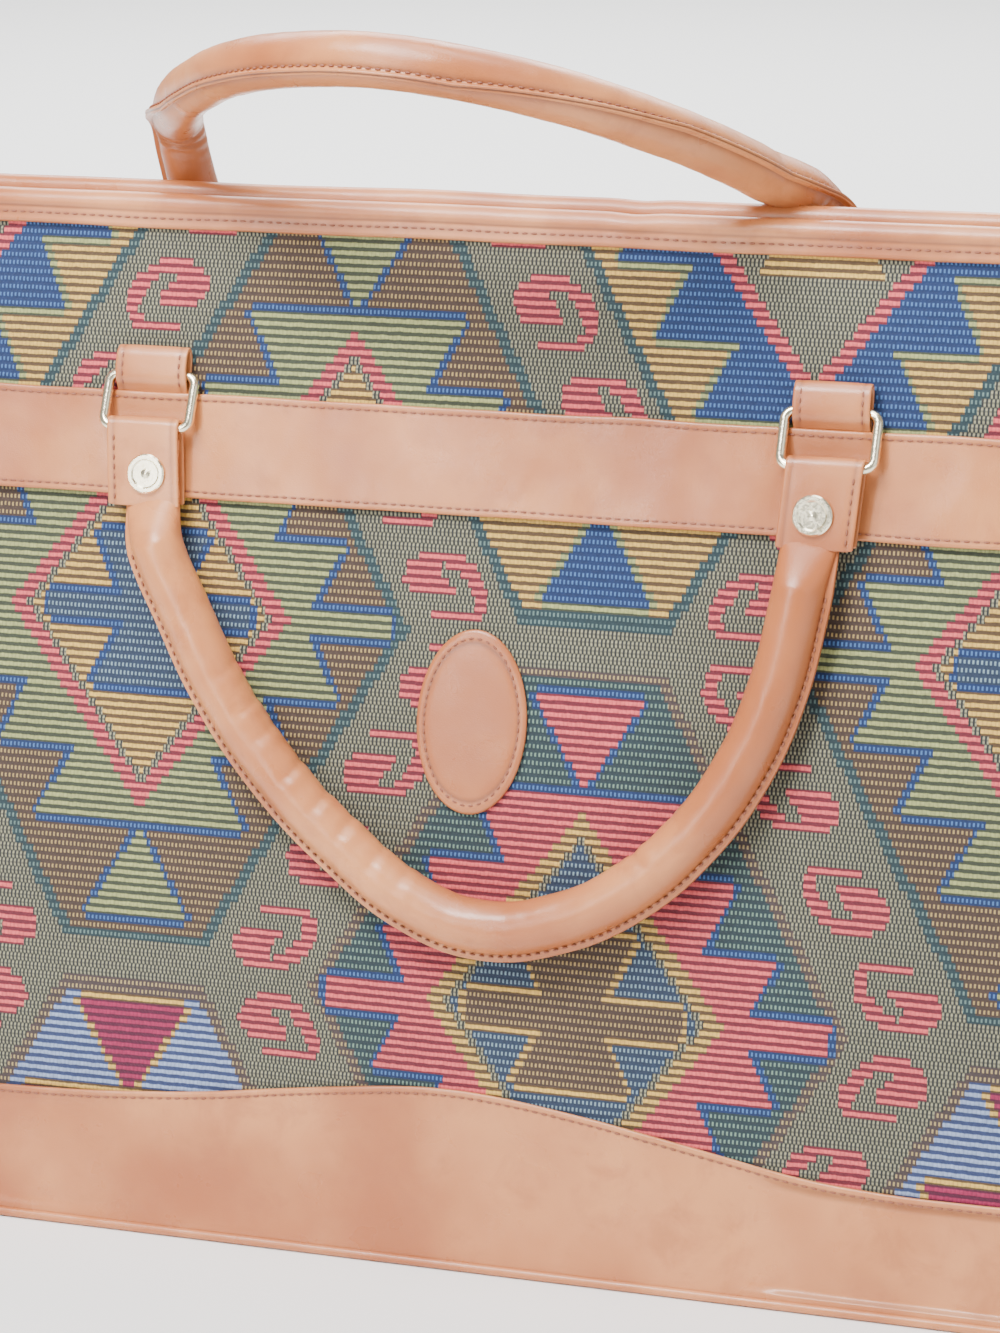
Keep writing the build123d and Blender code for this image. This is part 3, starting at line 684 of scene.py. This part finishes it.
def make_tapestries(material):
    columns = round(2 * HALF_WIDTH / THREAD)
    for name, low, high, shift, holder in (
        ("lower_tapestry", CLOTH_FOOT, SEAM, (0, 0), "lower_trim"),
        ("upper_tapestry", SEAM + 0.1 * MM, ROLL_CENTRE - 1 * MM, UPPER_SHIFT, "top_binding"),
    ):
        for side in ("front", "rear"):
            rise = REAR_RISE if side == "rear" and name == "upper_tapestry" else 0
            moved = shift if side == "front" else (shift[0] + REAR_SHIFT, shift[1])
            panel = front_strip(f"{side}_{name}_cloth", low, high, columns, moved, material, rise)
            if side == "rear":
                turn_to_rear(panel)
            settle(panel, "bag", "tapestry", f"{side}_{name}")
    low, high = CLOTH_FOOT, BINDING_FOOT - 1 * MM
    for side, sign in (("left", -1), ("right", 1)):
        panel = gusset(f"{side}_gusset_cloth", low, high, sign, material)
        settle(panel, "bag", "tapestry", f"{side}_gusset")


# ---- leather strips sewn to the face ----
# profiles run round the strip: (0 at the foot to 1 at the head, more height, out from the cloth, painted
# shade)
FACE_SIDE = 1 * MM         # profile points further out than this are on a strip's outer face
# a turned edge and its pressed line: (height in millimetres, share of the thickness, painted shade)
TURNED_EDGE = [
    (0.0, 0.5, 0.0), (0.0, 0.9, 0.15), (0.5, 1.18, 0.0),
    (1.3, 1.22, 0.0), (2.2, 0.98, 0.55), (3.2, 1.04, 0.0),
]


def strip_profile(inner, outer, middle_steps):
    """A turned and sewn leather strip with a pressed line of sewing near each edge."""
    span = outer - inner
    foot = [(0, h * MM, inner + span * share, dark) for h, share, dark in TURNED_EDGE]
    head = [(1, -h * MM, inner + span * share, dark) for h, share, dark in reversed(TURNED_EDGE)]
    middle = [(k / middle_steps, 0, inner + span, 0.0) for k in range(1, middle_steps)]
    back = [(k / middle_steps, 0, inner, 0.0) for k in range(middle_steps - 1, 0, -1)]
    return foot + middle + head + back


def face_strip(name, low, high, profile, steps, material, puff):
    """A strip across the front face. low(x), high(x) are its edges and puff(x, z) its unevenness."""

    def place(share, row):
        base, more, out, dark = row
        across = 2 * share - 1
        x = across * (half_width(high(0)) + STRIP_OVERHANG)
        z = low(x) + (high(x) - low(x)) * base + more
        x = across * (half_width(z) + STRIP_OVERHANG)
        return on_face(x, z, out + (puff(x, z) if out > FACE_SIDE else 0)), dark

    return looped_strip(name, steps, profile, place, [material])


def sewn_line(name, side, height, out, puff):
    """Stitches along the face at height(x)."""
    parts, inset = 60, 4 * MM
    route = []
    for k in range(parts + 1):
        x = (2 * k / parts - 1) * (half_width(height(0)) - inset)
        route.append(on_face(x, height(x), out + puff(x, height(x))))
    if side == "rear":
        route = [Vector((p.x, -p.y, p.z)) for p in route]
        return stitches(name, "bag", route, rear_normal)
    return stitches(name, "bag", route, face_normal)


def make_bands(material):
    def lift(x, z):
        """The band rides over the ends of the ring loops."""
        near = np.exp(-(((abs(x) - RING_X) / 0.0145) ** 6))
        return 1.5 * MM * near * ramp(z, BAND_TOP - 7 * MM, 5 * MM)

    def puff(x, z):
        wave = 0.75 * ripple(x, z * 0.25, 0.034, 1.0) + 0.30 * ripple(x, z, 0.014, 2.0)
        return wave * MM + lift(x, z)

    def edge(level, seed):
        return lambda x: level + 0.5 * MM * ripple(x, 0, 0.035, seed)

    inset, sewing_out = 2.2 * MM, 2.2 * MM
    profile = strip_profile(0.75 * MM, 2.15 * MM, 8)
    for side, seed in (("front", 3.0), ("rear", 9.0)):
        low, high = edge(BAND_FOOT, seed), edge(BAND_TOP, seed + 1)
        strip = face_strip(f"{side}_band_leather", low, high, profile, FACE_STEPS, material, puff)
        if side == "rear":
            turn_to_rear(strip)
        settle(strip, "bag", "tan_leather", f"{side}_band")
        for label, level in (("foot", lambda x: low(x) + inset), ("head", lambda x: high(x) - inset)):
            sewn_line(f"{side}_band_{label}_sewing", side, level, sewing_out, puff)


# the lower trim's top edge, in millimetres: (across, height)
WAVE_KNOTS = [
    (-250, 46), (-168, 47.6), (-130, 49), (-92, 52), (-54, 57.8), (-18, 62.6), (0, 63.4),
    (18, 62.6), (54, 58), (90, 51.6), (125, 45), (159, 43), (192, 43.6), (250, 44),
]
# dents in the lower trim, in millimetres: (across, height, size, depth)
TRIM_DENTS = [
    (105, 27, 9, 1.3), (78, 34, 16, -0.9), (-140, 22, 22, -1.1), (20, 30, 30, 0.8), (150, 18, 18, -1.0),
]


def wave_top(x):
    """Height of the lower trim's sewn top edge, with the knots rounded off."""
    xs, zs = zip(*WAVE_KNOTS)
    window = np.linspace(-12, 12, 7)
    return float(np.mean(np.interp(x / MM + window, xs, zs))) * MM


def make_lower_trims(material):
    def puff(x, z):
        total = 0.9 * ripple(x, z, 0.045, 5.0) + 0.35 * ripple(x, z, 0.018, 6.0)
        for dent_x, dent_z, size, depth in TRIM_DENTS:
            gap = ((x / MM - dent_x) / size) ** 2 + ((z / MM - dent_z) / size) ** 2
            total -= depth * float(np.exp(-gap))
        return total * MM * ramp(z, 5 * MM, 8 * MM)

    inset = 2.3 * MM
    profile = strip_profile(0.1 * MM, 1.5 * MM, 14)
    # the foot of the trim has no sewing, so its pressed line gets no painted shade
    profile = [row if row[0] > 0 or row[3] < 0.4 else (*row[:3], 0.0) for row in profile]
    for side in ("front", "rear"):
        strip = face_strip(
            f"{side}_trim_leather", lambda x: TRIM_FOOT, wave_top, profile, FACE_STEPS, material, puff
        )
        if side == "rear":
            turn_to_rear(strip)
        settle(strip, "bag", "tan_leather", f"{side}_lower_trim")
        sewn_line(f"{side}_trim_sewing", side, lambda x: wave_top(x) - inset, 1.55 * MM, puff)
    for side, sign in (("left", -1), ("right", 1)):

        def place(share, row):
            base, more, out, dark = row
            z = TRIM_FOOT + (SIDE_TRIM_TOP - TRIM_FOOT) * base + more
            y = (2 * share - 1) * (CLOTH - face_y(z))
            swell = 0.5 * MM * ripple(y, z, 0.03, 7.0 + sign)
            x = half_width(z) + out + (swell if out > FACE_SIDE else 0)
            return Vector((sign * x, y, z)), dark

        strip = looped_strip(f"{side}_trim_leather", SIDE_STEPS, profile, place, [material])
        settle(strip, "bag", "tan_leather", f"{side}_lower_trim")
        route = [place(k / 30, (1, -inset, 1.5 * MM, 0))[0] for k in range(31)]
        stitches(f"{side}_trim_sewing", "bag", route, lambda p: (sign, 0, 0))


def binding_profile():
    """A sewn flap that rises to a rolled edge and turns down inside the bag."""
    roll, roll_out = 4.2 * MM, -0.75 * MM
    # each flap point's last number is painted shade: at its foot, in the sewing groove and where it meets the
    # roll
    flap = [(0, 1.0, 0.1), (0.3, 1.75, 0), (1.4, 2.0, 0), (3.3, 1.65, 0.5), (4.6, 1.95, 0), (5.6, 1.9, 0.45)]
    turns = [radians(-22 + 224 * k / 12) for k in range(13)]
    inside_flap = [(4.6, -3.5, 0), (0.4, -3.2, 0), (0, -2.6, 0), (0, -0.7, 0)]
    return (
        [(0, height * MM, out * MM, dark) for height, out, dark in flap]
        + [(1, roll * sin(turn), roll_out + roll * cos(turn), 0.0) for turn in turns]
        + [(0, height * MM, out * MM, dark) for height, out, dark in inside_flap]
    )


def make_bindings(material):
    def puff(x, z):
        return (0.35 * ripple(x, z, 0.04, 11.0) + 0.15 * ripple(x, z, 0.012, 12.0)) * MM

    for side, rise, seed in (("front", 0.0, 20.0), ("rear", REAR_RISE, 30.0)):

        def low(x):
            return BINDING_FOOT + 0.4 * MM * ripple(x, 0, 0.05, seed)

        def high(x):
            dent = 0.7 * MM * float(np.exp(-(((x / MM - 48) / 7) ** 2)))
            return ROLL_CENTRE + rise + 0.6 * MM * ripple(x, 0, 0.06, seed + 1) - dent

        strip = face_strip(
            f"{side}_binding_leather", low, high, binding_profile(), BINDING_STEPS, material, puff
        )
        if side == "rear":
            turn_to_rear(strip)
        settle(strip, "bag", "tan_leather", f"{side}_top_binding")
        sewn_line(f"{side}_binding_sewing", side, lambda x: low(x) + 3.3 * MM, 1.75 * MM, puff)


def make_piping(material):
    """A covered cord round the foot."""
    radius, height, corner = 1.75 * MM, 1.8 * MM, 5 * MM
    reach_x, reach_y = HALF_WIDTH + 1.9 * MM, HALF_DEPTH + 1.9 * MM
    corners = []
    for k, (across, along) in enumerate(((1, -1), (1, 1), (-1, 1), (-1, -1))):
        centre = Vector((across * (reach_x - corner), along * (reach_y - corner), height))
        for degrees in (0, 30, 60, 90):
            turn = radians(90 * k - 90 + degrees)
            corners.append(centre + corner * Vector((cos(turn), sin(turn), 0)))
    line = []
    for a, b in zip(corners, corners[1:] + corners[:1]):
        parts = max(1, round((b - a).length / (6 * MM)))
        line += [a.lerp(b, k / parts) for k in range(parts)]
    steps = len(line)
    profile = [radians(36 * k) for k in range(10)]

    def place(share, turn):
        k = round(share * steps) % steps
        along = (line[(k + 1) % steps] - line[k - 1]).normalized()
        side = Vector((along.y, -along.x, 0))
        swell = radius * (1 + 0.05 * ripple(line[k].x, line[k].y, 0.02, 40.0))
        point = line[k] + side * swell * cos(turn) + Vector((0, 0, swell * sin(turn)))
        point.z = max(point.z, 0.02 * MM)
        # painted shade on the cord's inner side, where it tucks against the bag
        return point, 0.35 if cos(turn) < -0.3 else 0.0

    cord = looped_strip("base_piping_leather", steps, profile, place, [material], closed=True)
    settle(smoother(cord), "bag", "tan_leather", "base_piping")


# the patch from its middle out and back under: (share of its half size, out in millimetres)
PATCH_RIM = [
    (0.0, 2.1), (0.35, 2.15), (0.7, 2.1), (0.80, 1.95), (0.855, 1.6), (0.91, 1.85),
    (0.96, 1.75), (1.0, 1.2), (1.0, 0.5), (0.97, 0.1), (0.5, 0.08), (0.0, 0.08),
]
PATCH_SEWING = 0.855


def make_patch(material):
    """An oval of leather, sewn round its rim."""
    centre_x, centre_z = 2.2 * MM, 187.8 * MM
    half_x, half_z = 19.7 * MM, 31 * MM
    bm = bmesh.new()
    shade = bm.verts.layers.float.new("shade")
    verts = [bm.verts.new((share, 0, out)) for share, out in PATCH_RIM]
    edges = [bm.edges.new(pair) for pair in zip(verts, verts[1:])]
    bmesh.ops.spin(
        bm, geom=verts + edges, axis=(0, 0, 1), cent=(0, 0, 0), angle=2 * pi, steps=72,
        use_merge=True, use_duplicate=False,
    )
    bmesh.ops.remove_doubles(bm, verts=bm.verts, dist=1e-5)
    for v in bm.verts:
        # painted shade in the groove where the rim is sewn
        v[shade] = 0.6 if abs(v.co.xy.length - PATCH_SEWING) < 0.01 else 0.0
        v.co = on_face(centre_x + v.co.x * half_x, centre_z + v.co.y * half_z, v.co.z * MM)
    bmesh.ops.recalc_face_normals(bm, faces=bm.faces)
    patch = finish_mesh("oval_patch_leather", bm, [material])
    settle(smoother(patch), "bag", "tan_leather", "oval_patch")
    route = []
    for k in range(49):
        turn = 2 * pi * k / 48
        x = centre_x + half_x * PATCH_SEWING * cos(turn)
        route.append(on_face(x, centre_z + half_z * 0.90 * sin(turn), 1.75 * MM))
    stitches("oval_patch_sewing", "bag", route, face_normal, pitch=3.0 * MM, length=2.0 * MM)


# ---- ring loops and handle tabs: straps in a frame of their own ----
# for the loops of the front rings, the front tabs and the rear tabs: a point on the bar that the
# strap is folded round, the way the strap runs from it and the way its outer side faces
HINGE = Vector((0, -0.022012, 0.2966))
HINGE_UP = Vector((0, 0.255, 0.967)).normalized()
HINGE_OUT = Vector((0, -0.967, 0.255)).normalized()
FRONT_BAR = Vector((0, -0.034363, 0.280741))
FRONT_DOWN = Vector((0, -0.204, -0.979)).normalized()
FRONT_OUT = Vector((0, -0.979, 0.204)).normalized()
REAR_BAR = Vector((0, 0.024938, 0.316487))
REAR_UP = Vector((0, -0.2396, 0.9709)).normalized()
REAR_OUT = Vector((0, 0.9709, 0.2396)).normalized()
STRAP_HALF = 13.1 * MM
STRAP = 1.4 * MM
STRAP_GROOVE = 2.6 * MM    # the pressed line of sewing, in from a strap's edge

# (along, outward) places in millimetres; a loop goes out round the ring's bar and back
LOOP_ROUTE = [
    (-12, 1.2), (-8.5, 1.35), (-6.4, 1.9), (-4.2, 3.7), (-2.0, 5.4), (1.2, 6.15), (4.6, 6.1),
    (7.8, 5.3), (9.5, 3.4), (7.8, 1.55), (4.0, 0.95), (-3.0, 0.85), (-12, 0.45),
]
TAB_FOLD = 2.75            # a tab's back and front layers lie this far from its middle
TAB_END = 27.5
TAB_BACK = [
    (TAB_END - 1, -TAB_FOLD + 0.3), (20, -TAB_FOLD), (12, -TAB_FOLD), (5, -TAB_FOLD),
    (1.2, -TAB_FOLD + 0.15), (-1.8, -1.95), (-2.75, 0),
]
TAB_LEAN = 0.07            # the tabs draw together towards the handle


def strap_profile():
    """(across, share of the thickness, painted shade) round a strap, its outer side first."""
    half, groove = STRAP_HALF, STRAP_GROOVE
    across = [
        (-half, 0.0, 0.1), (-half, 0.35, 0.1), (-half + 0.4 * MM, 0.5, 0), (-half + groove, 0.38, 0.45),
        (-half + groove + 1 * MM, 0.5, 0), (-half / 2, 0.52, 0), (0, 0.53, 0),
    ]
    top = across + [(-w, share, dark) for w, share, dark in reversed(across[:-1])]
    return top + [(w, -share, dark) for w, share, dark in reversed(top[1:-1])]


def folded_strap(name, centre_x, origin, along, outward, route, thickness, material, steps, lean=0.0):
    """A strap carried along a folded route of (along, outward) places in millimetres."""
    points = smooth_path([Vector((a, o, 0)) * MM for a, o in route], steps + 1)

    def place(share, row):
        w, height, dark = row
        k = round(share * steps)
        run = (points[min(k + 1, steps)] - points[max(k - 1, 0)]).normalized()
        spot = points[k] + Vector((-run.y, run.x, 0)) * height * thickness(share)
        across = Vector((centre_x + w + lean * spot.x, 0, 0))
        return origin + across + along * spot.x + outward * spot.y, dark if height > 0 else 0.0

    return looped_strip(name, steps, strap_profile(), place, [material])


def make_ring_loops(material):
    def thickness(share):
        return STRAP * float(np.clip(min(share / 0.14, (1 - share) / 0.2), 0.35, 1))

    for side, x in (("left", -RING_X), ("right", RING_X)):
        loop = folded_strap(
            f"front_{side}_loop_leather", x, HINGE, HINGE_UP, HINGE_OUT, LOOP_ROUTE, thickness, material, 64
        )
        rear = rear_copy(loop, f"rear_{side}_loop_leather")
        settle(smoother(loop), "bag", "tan_leather", f"front_{side}_ring_loop")
        settle(smoother(rear), "bag", "tan_leather", f"rear_{side}_ring_loop")
        for edge, w in (("inner", STRAP_GROOVE - STRAP_HALF), ("outer", STRAP_HALF - STRAP_GROOVE)):
            line = [
                HINGE + Vector((x + w, 0, 0)) + HINGE_UP * a * MM + HINGE_OUT * (o + 0.62) * MM
                for a, o in LOOP_ROUTE[3:8]
            ]
            stitches(f"front_{side}_loop_{edge}_sewing", "bag", line, lambda p: HINGE_OUT)
            line = [Vector((p.x, -p.y, p.z)) for p in line]
            stitches(f"rear_{side}_loop_{edge}_sewing", "bag", line, lambda p: (0, -HINGE_OUT.y, HINGE_OUT.z))


def make_tabs(material):
    front = [(a, -o) for a, o in reversed(TAB_BACK[:-1])]
    route = TAB_BACK + front[:-1] + [(TAB_END, TAB_FOLD - 0.2)]

    def thickness(share):
        return STRAP

    for face, bar, along, outward in (
        ("front", FRONT_BAR, FRONT_DOWN, FRONT_OUT),
        ("rear", REAR_BAR, REAR_UP, REAR_OUT),
    ):
        body = f"{face}_handle"
        for side, sign in (("left", -1), ("right", 1)):
            x, lean = sign * RING_X, -sign * TAB_LEAN
            tab = folded_strap(
                f"{face}_{side}_tab_leather", x, bar, along, outward, route, thickness, material, 72, lean
            )
            settle(smoother(tab), body, "tan_leather", f"{face}_{side}_handle_tab")
            edge = x + sign * (STRAP_HALF - STRAP_GROOVE)
            line = [
                bar + Vector((edge + lean * a * MM, 0, 0)) + along * a * MM + outward * (TAB_FOLD + 0.72) * MM
                for a in (2.5, 9, 15, 21, 26)
            ]
            stitches(f"{face}_{side}_tab_sewing", body, line, lambda p: outward)


# ---- handles ----
HANDLE_STEPS = 420
TUBE = 9 * MM
TONGUE_HALF = 10.3 * MM    # the flat tongue between a tab's layers
TONGUE_THICK = 1.8 * MM
OUTSET = 4.6 * MM          # how far the tube's middle lies out from its tongues
# handle outlines in millimetres: x across, and the distance from the ring bar
FRONT_U = [
    (-118, 4), (-117.6, 18), (-115.3, 30), (-111.5, 42), (-101.5, 61), (-86, 88), (-63.5, 116),
    (-38, 138.5), (-13, 155), (12, 162), (38, 157.5), (62, 145), (82, 126), (98.5, 101), (108.5, 75),
    (114, 48), (116.4, 31), (118, 18), (118, 4),
]
REAR_U = [
    (-118, 4), (-117.8, 18), (-115.8, 31), (-113, 46), (-108.5, 62), (-98, 88), (-80, 115), (-56, 140),
    (-28, 156), (0, 162), (28, 156), (56, 140), (80, 115), (98, 88), (108.5, 62), (113, 46),
    (115.8, 31), (117.8, 18), (118, 4),
]
# puckers on the hanging handle's inner side: (share of its length, depth)
PUCKERS = [
    (0.20, 0.5), (0.235, 0.7), (0.262, 0.6), (0.30, 0.9), (0.335, 0.7), (0.365, 0.8), (0.40, 0.6),
    (0.43, 0.5), (0.655, 0.9), (0.70, 0.4),
]
PUCKER_WIDTH = 0.0045
KINK_DROP = 54 * MM
KINK_ANGLE = radians(52)
KINK_SOFT = 7 * MM         # the bend reaches this far to both sides of the kink
KINK_SLOPE = 0.085         # the left leg stands taller than the right one
ARCH_TWIST = radians(40)
ARCH_LEAN = 0.36           # how far the arch leans to the left as it rises
# (degrees from the tube's outer side, out in millimetres, painted shade) over the two-lipped welt
WELT = [
    (-8, 1.0, 0.5), (-7, 1.0, 0.1), (-6.2, 2.6, 0.0), (-5.6, 3.3, 0.0), (-2.6, 3.5, 0.0), (0.0, 2.7, 0.7),
    (2.6, 3.5, 0.0), (5.6, 3.3, 0.0), (6.2, 2.6, 0.0), (7, 1.0, 0.1), (8, 1.0, 0.5),
]


def handle_rise(drop):
    """How far the tube's middle lies out from the tongue's plane, by distance from the ring bar."""
    share = ramp(drop, 22 * MM, 20 * MM)
    return OUTSET * share * share * (3 - 2 * share)


def bend_kink(x, drop, out):
    """Folds the standing arch forward about a line across it, with a short soft bend."""
    fold = KINK_DROP - KINK_SLOPE * x
    past = drop - fold
    if past <= -KINK_SOFT:
        return Vector((x, drop, out))
    angle = KINK_ANGLE * ramp(past, -KINK_SOFT, 2 * KINK_SOFT)
    centre_out = OUTSET - 2 * KINK_SOFT / KINK_ANGLE
    height = out - centre_out
    beyond = max(0.0, past - KINK_SOFT)
    drop = fold - KINK_SOFT + height * sin(angle) + beyond * cos(angle)
    return Vector((x, drop, centre_out + height * cos(angle) - beyond * sin(angle)))


def handle_section():
    """Angle round the tube from its outer side, with a two-lipped welt there."""
    rounds = [(radians(a), 0.0, 0.0) for a in range(24, 337, 12)]
    return rounds + [(radians(a), out * MM, dark) for a, out, dark in WELT]


def puckered(share, turn):
    """The swell and the painted shade in the creases that the puckers give to a place on the hanging handle.
    """
    inner_side = max(0.0, -cos(turn)) * (0.45 + 0.55 * max(0.0, sin(turn)))
    swell = dark = 0.0
    for middle, depth in PUCKERS:
        gap = (share - middle - 0.006 * sin(turn)) / PUCKER_WIDTH
        ridge = 0.06 * exp(-((gap - 2.2) ** 2)) - 0.12 * exp(-gap * gap)
        swell += depth * inner_side * ridge
        # painted shade in each pucker's crease
        dark += 0.5 * depth * inner_side * exp(-gap * gap * 2)
    return swell, dark


def crumpled(drop, x, turn):
    """The swell of the creased leather about the standing handle's kink."""
    near = (drop - KINK_DROP + KINK_SLOPE * x) / (6 * MM)
    creases = 0.07 * sin(near * 9 + turn * 2) * max(0.0, 0.35 - sin(turn))
    return exp(-near * near) * (creases - 0.06 * abs(sin(turn)))


def make_handle(body, outline, bar, along, outward, kinked, material):
    points = smooth_path([Vector((x, drop, 0)) * MM for x, drop in outline], HANDLE_STEPS + 1)

    def place(share, row):
        turn, welt, dark = row
        k = round(share * HANDLE_STEPS)
        spot = points[k]
        run = (points[min(k + 1, HANDLE_STEPS)] - points[max(k - 1, 0)]).normalized()
        drop = spot.y
        full = ramp(drop, 24 * MM, 16 * MM) ** 0.7
        wide = TONGUE_HALF + (TUBE - TONGUE_HALF) * full
        thick = TONGUE_THICK + (TUBE - TONGUE_THICK) * full
        uneven = 1 + 0.025 * ripple(share * 9, turn, 0.35, 50.0) + 0.012 * ripple(share * 40, turn, 0.5, 51.0)
        if kinked:
            uneven += crumpled(drop, spot.x, turn)
        else:
            # the puckers add swell and painted shade in their creases
            swell, crease_shade = puckered(share, turn)
            uneven += swell
            dark += crease_shade
        sideways = (wide * uneven + welt * full) * cos(turn)
        height = thick * uneven * sin(turn)
        if welt:
            sideways = wide - 0.9 * MM + welt * full
            height = sin(turn) * TUBE * 1.1 * (0.25 + 0.75 * full)
        if kinked:
            leftward = float(np.clip(1.4 - spot.x / (60 * MM), 0, 1))
            twist = ARCH_TWIST * ramp(drop, 60 * MM, 40 * MM) * leftward
            sideways, height = (
                sideways * cos(twist) + height * sin(twist),
                height * cos(twist) - sideways * sin(twist),
            )
        local = spot + Vector((-run.y, run.x, 0)) * sideways
        local.z = handle_rise(drop) + height
        if kinked:
            local.x -= ARCH_LEAN * float(np.clip(drop - 20 * MM, 0, 46 * MM))
            local = bend_kink(*local)
        return bar + Vector((local.x, 0, 0)) + along * local.y + outward * local.z, min(dark, 1.0)

    handle = looped_strip(f"{body}_leather", HANDLE_STEPS, handle_section(), place, [material])
    settle(handle, body, "tan_leather", body)
    welt_side = (radians(9), 1.6 * MM, 0)
    route = [place(0.085 + 0.83 * k / 59, welt_side)[0] for k in range(60)]
    stitches(f"{body}_sewing", body, route, lambda p: outward, length=2.2 * MM)


def make_handles(material):
    make_handle("front_handle", FRONT_U, FRONT_BAR, FRONT_DOWN, FRONT_OUT, False, material)
    make_handle("rear_handle", REAR_U, REAR_BAR, REAR_UP, REAR_OUT, True, material)


# ---- finish the nodes that keep their own shape ----
def paint_nodes(paints):
    for name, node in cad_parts.items():
        for ending, paint in paints.items():
            if name.endswith(ending):
                node.data.materials.clear()
                node.data.materials.append(paint)


make_camera()
make_studio()
LEATHER_PAINT = leather_paint()
THREAD_PAINT = thread_paint()
BRASS = metal_paint("pale_brass", rgb(246, 236, 205), rgb(196, 174, 126), 0.16)
paint_nodes({
    "_ring": BRASS,
    "_rivet": metal_paint("rivet_brass", rgb(252, 242, 212), rgb(222, 202, 150), 0.18),
    "zip_slider": BRASS,
    "zip_pull": BRASS,
    "zip_coil": plain_paint("zip_nylon", rgb(128, 92, 66), rgb(92, 62, 44), 900, 0.45, 0.05 * MM),
    "zip_tape": woven_paint("zip_cloth", rgb(120, 84, 60), rgb(78, 52, 38), 0.9 * MM),
    "lining": woven_paint("lining_cloth", rgb(120, 102, 88), rgb(84, 68, 58), 0.8 * MM),
    "base_board": plain_paint("board", rgb(150, 124, 96), rgb(116, 92, 68), 300, 0.85, 0.1 * MM),
    "base_panel": LEATHER_PAINT,
})
make_tapestries(tapestry_paint())
make_bands(LEATHER_PAINT)
make_lower_trims(LEATHER_PAINT)
make_bindings(LEATHER_PAINT)
make_piping(LEATHER_PAINT)
make_patch(LEATHER_PAINT)
make_ring_loops(LEATHER_PAINT)
make_tabs(LEATHER_PAINT)
make_handles(LEATHER_PAINT)
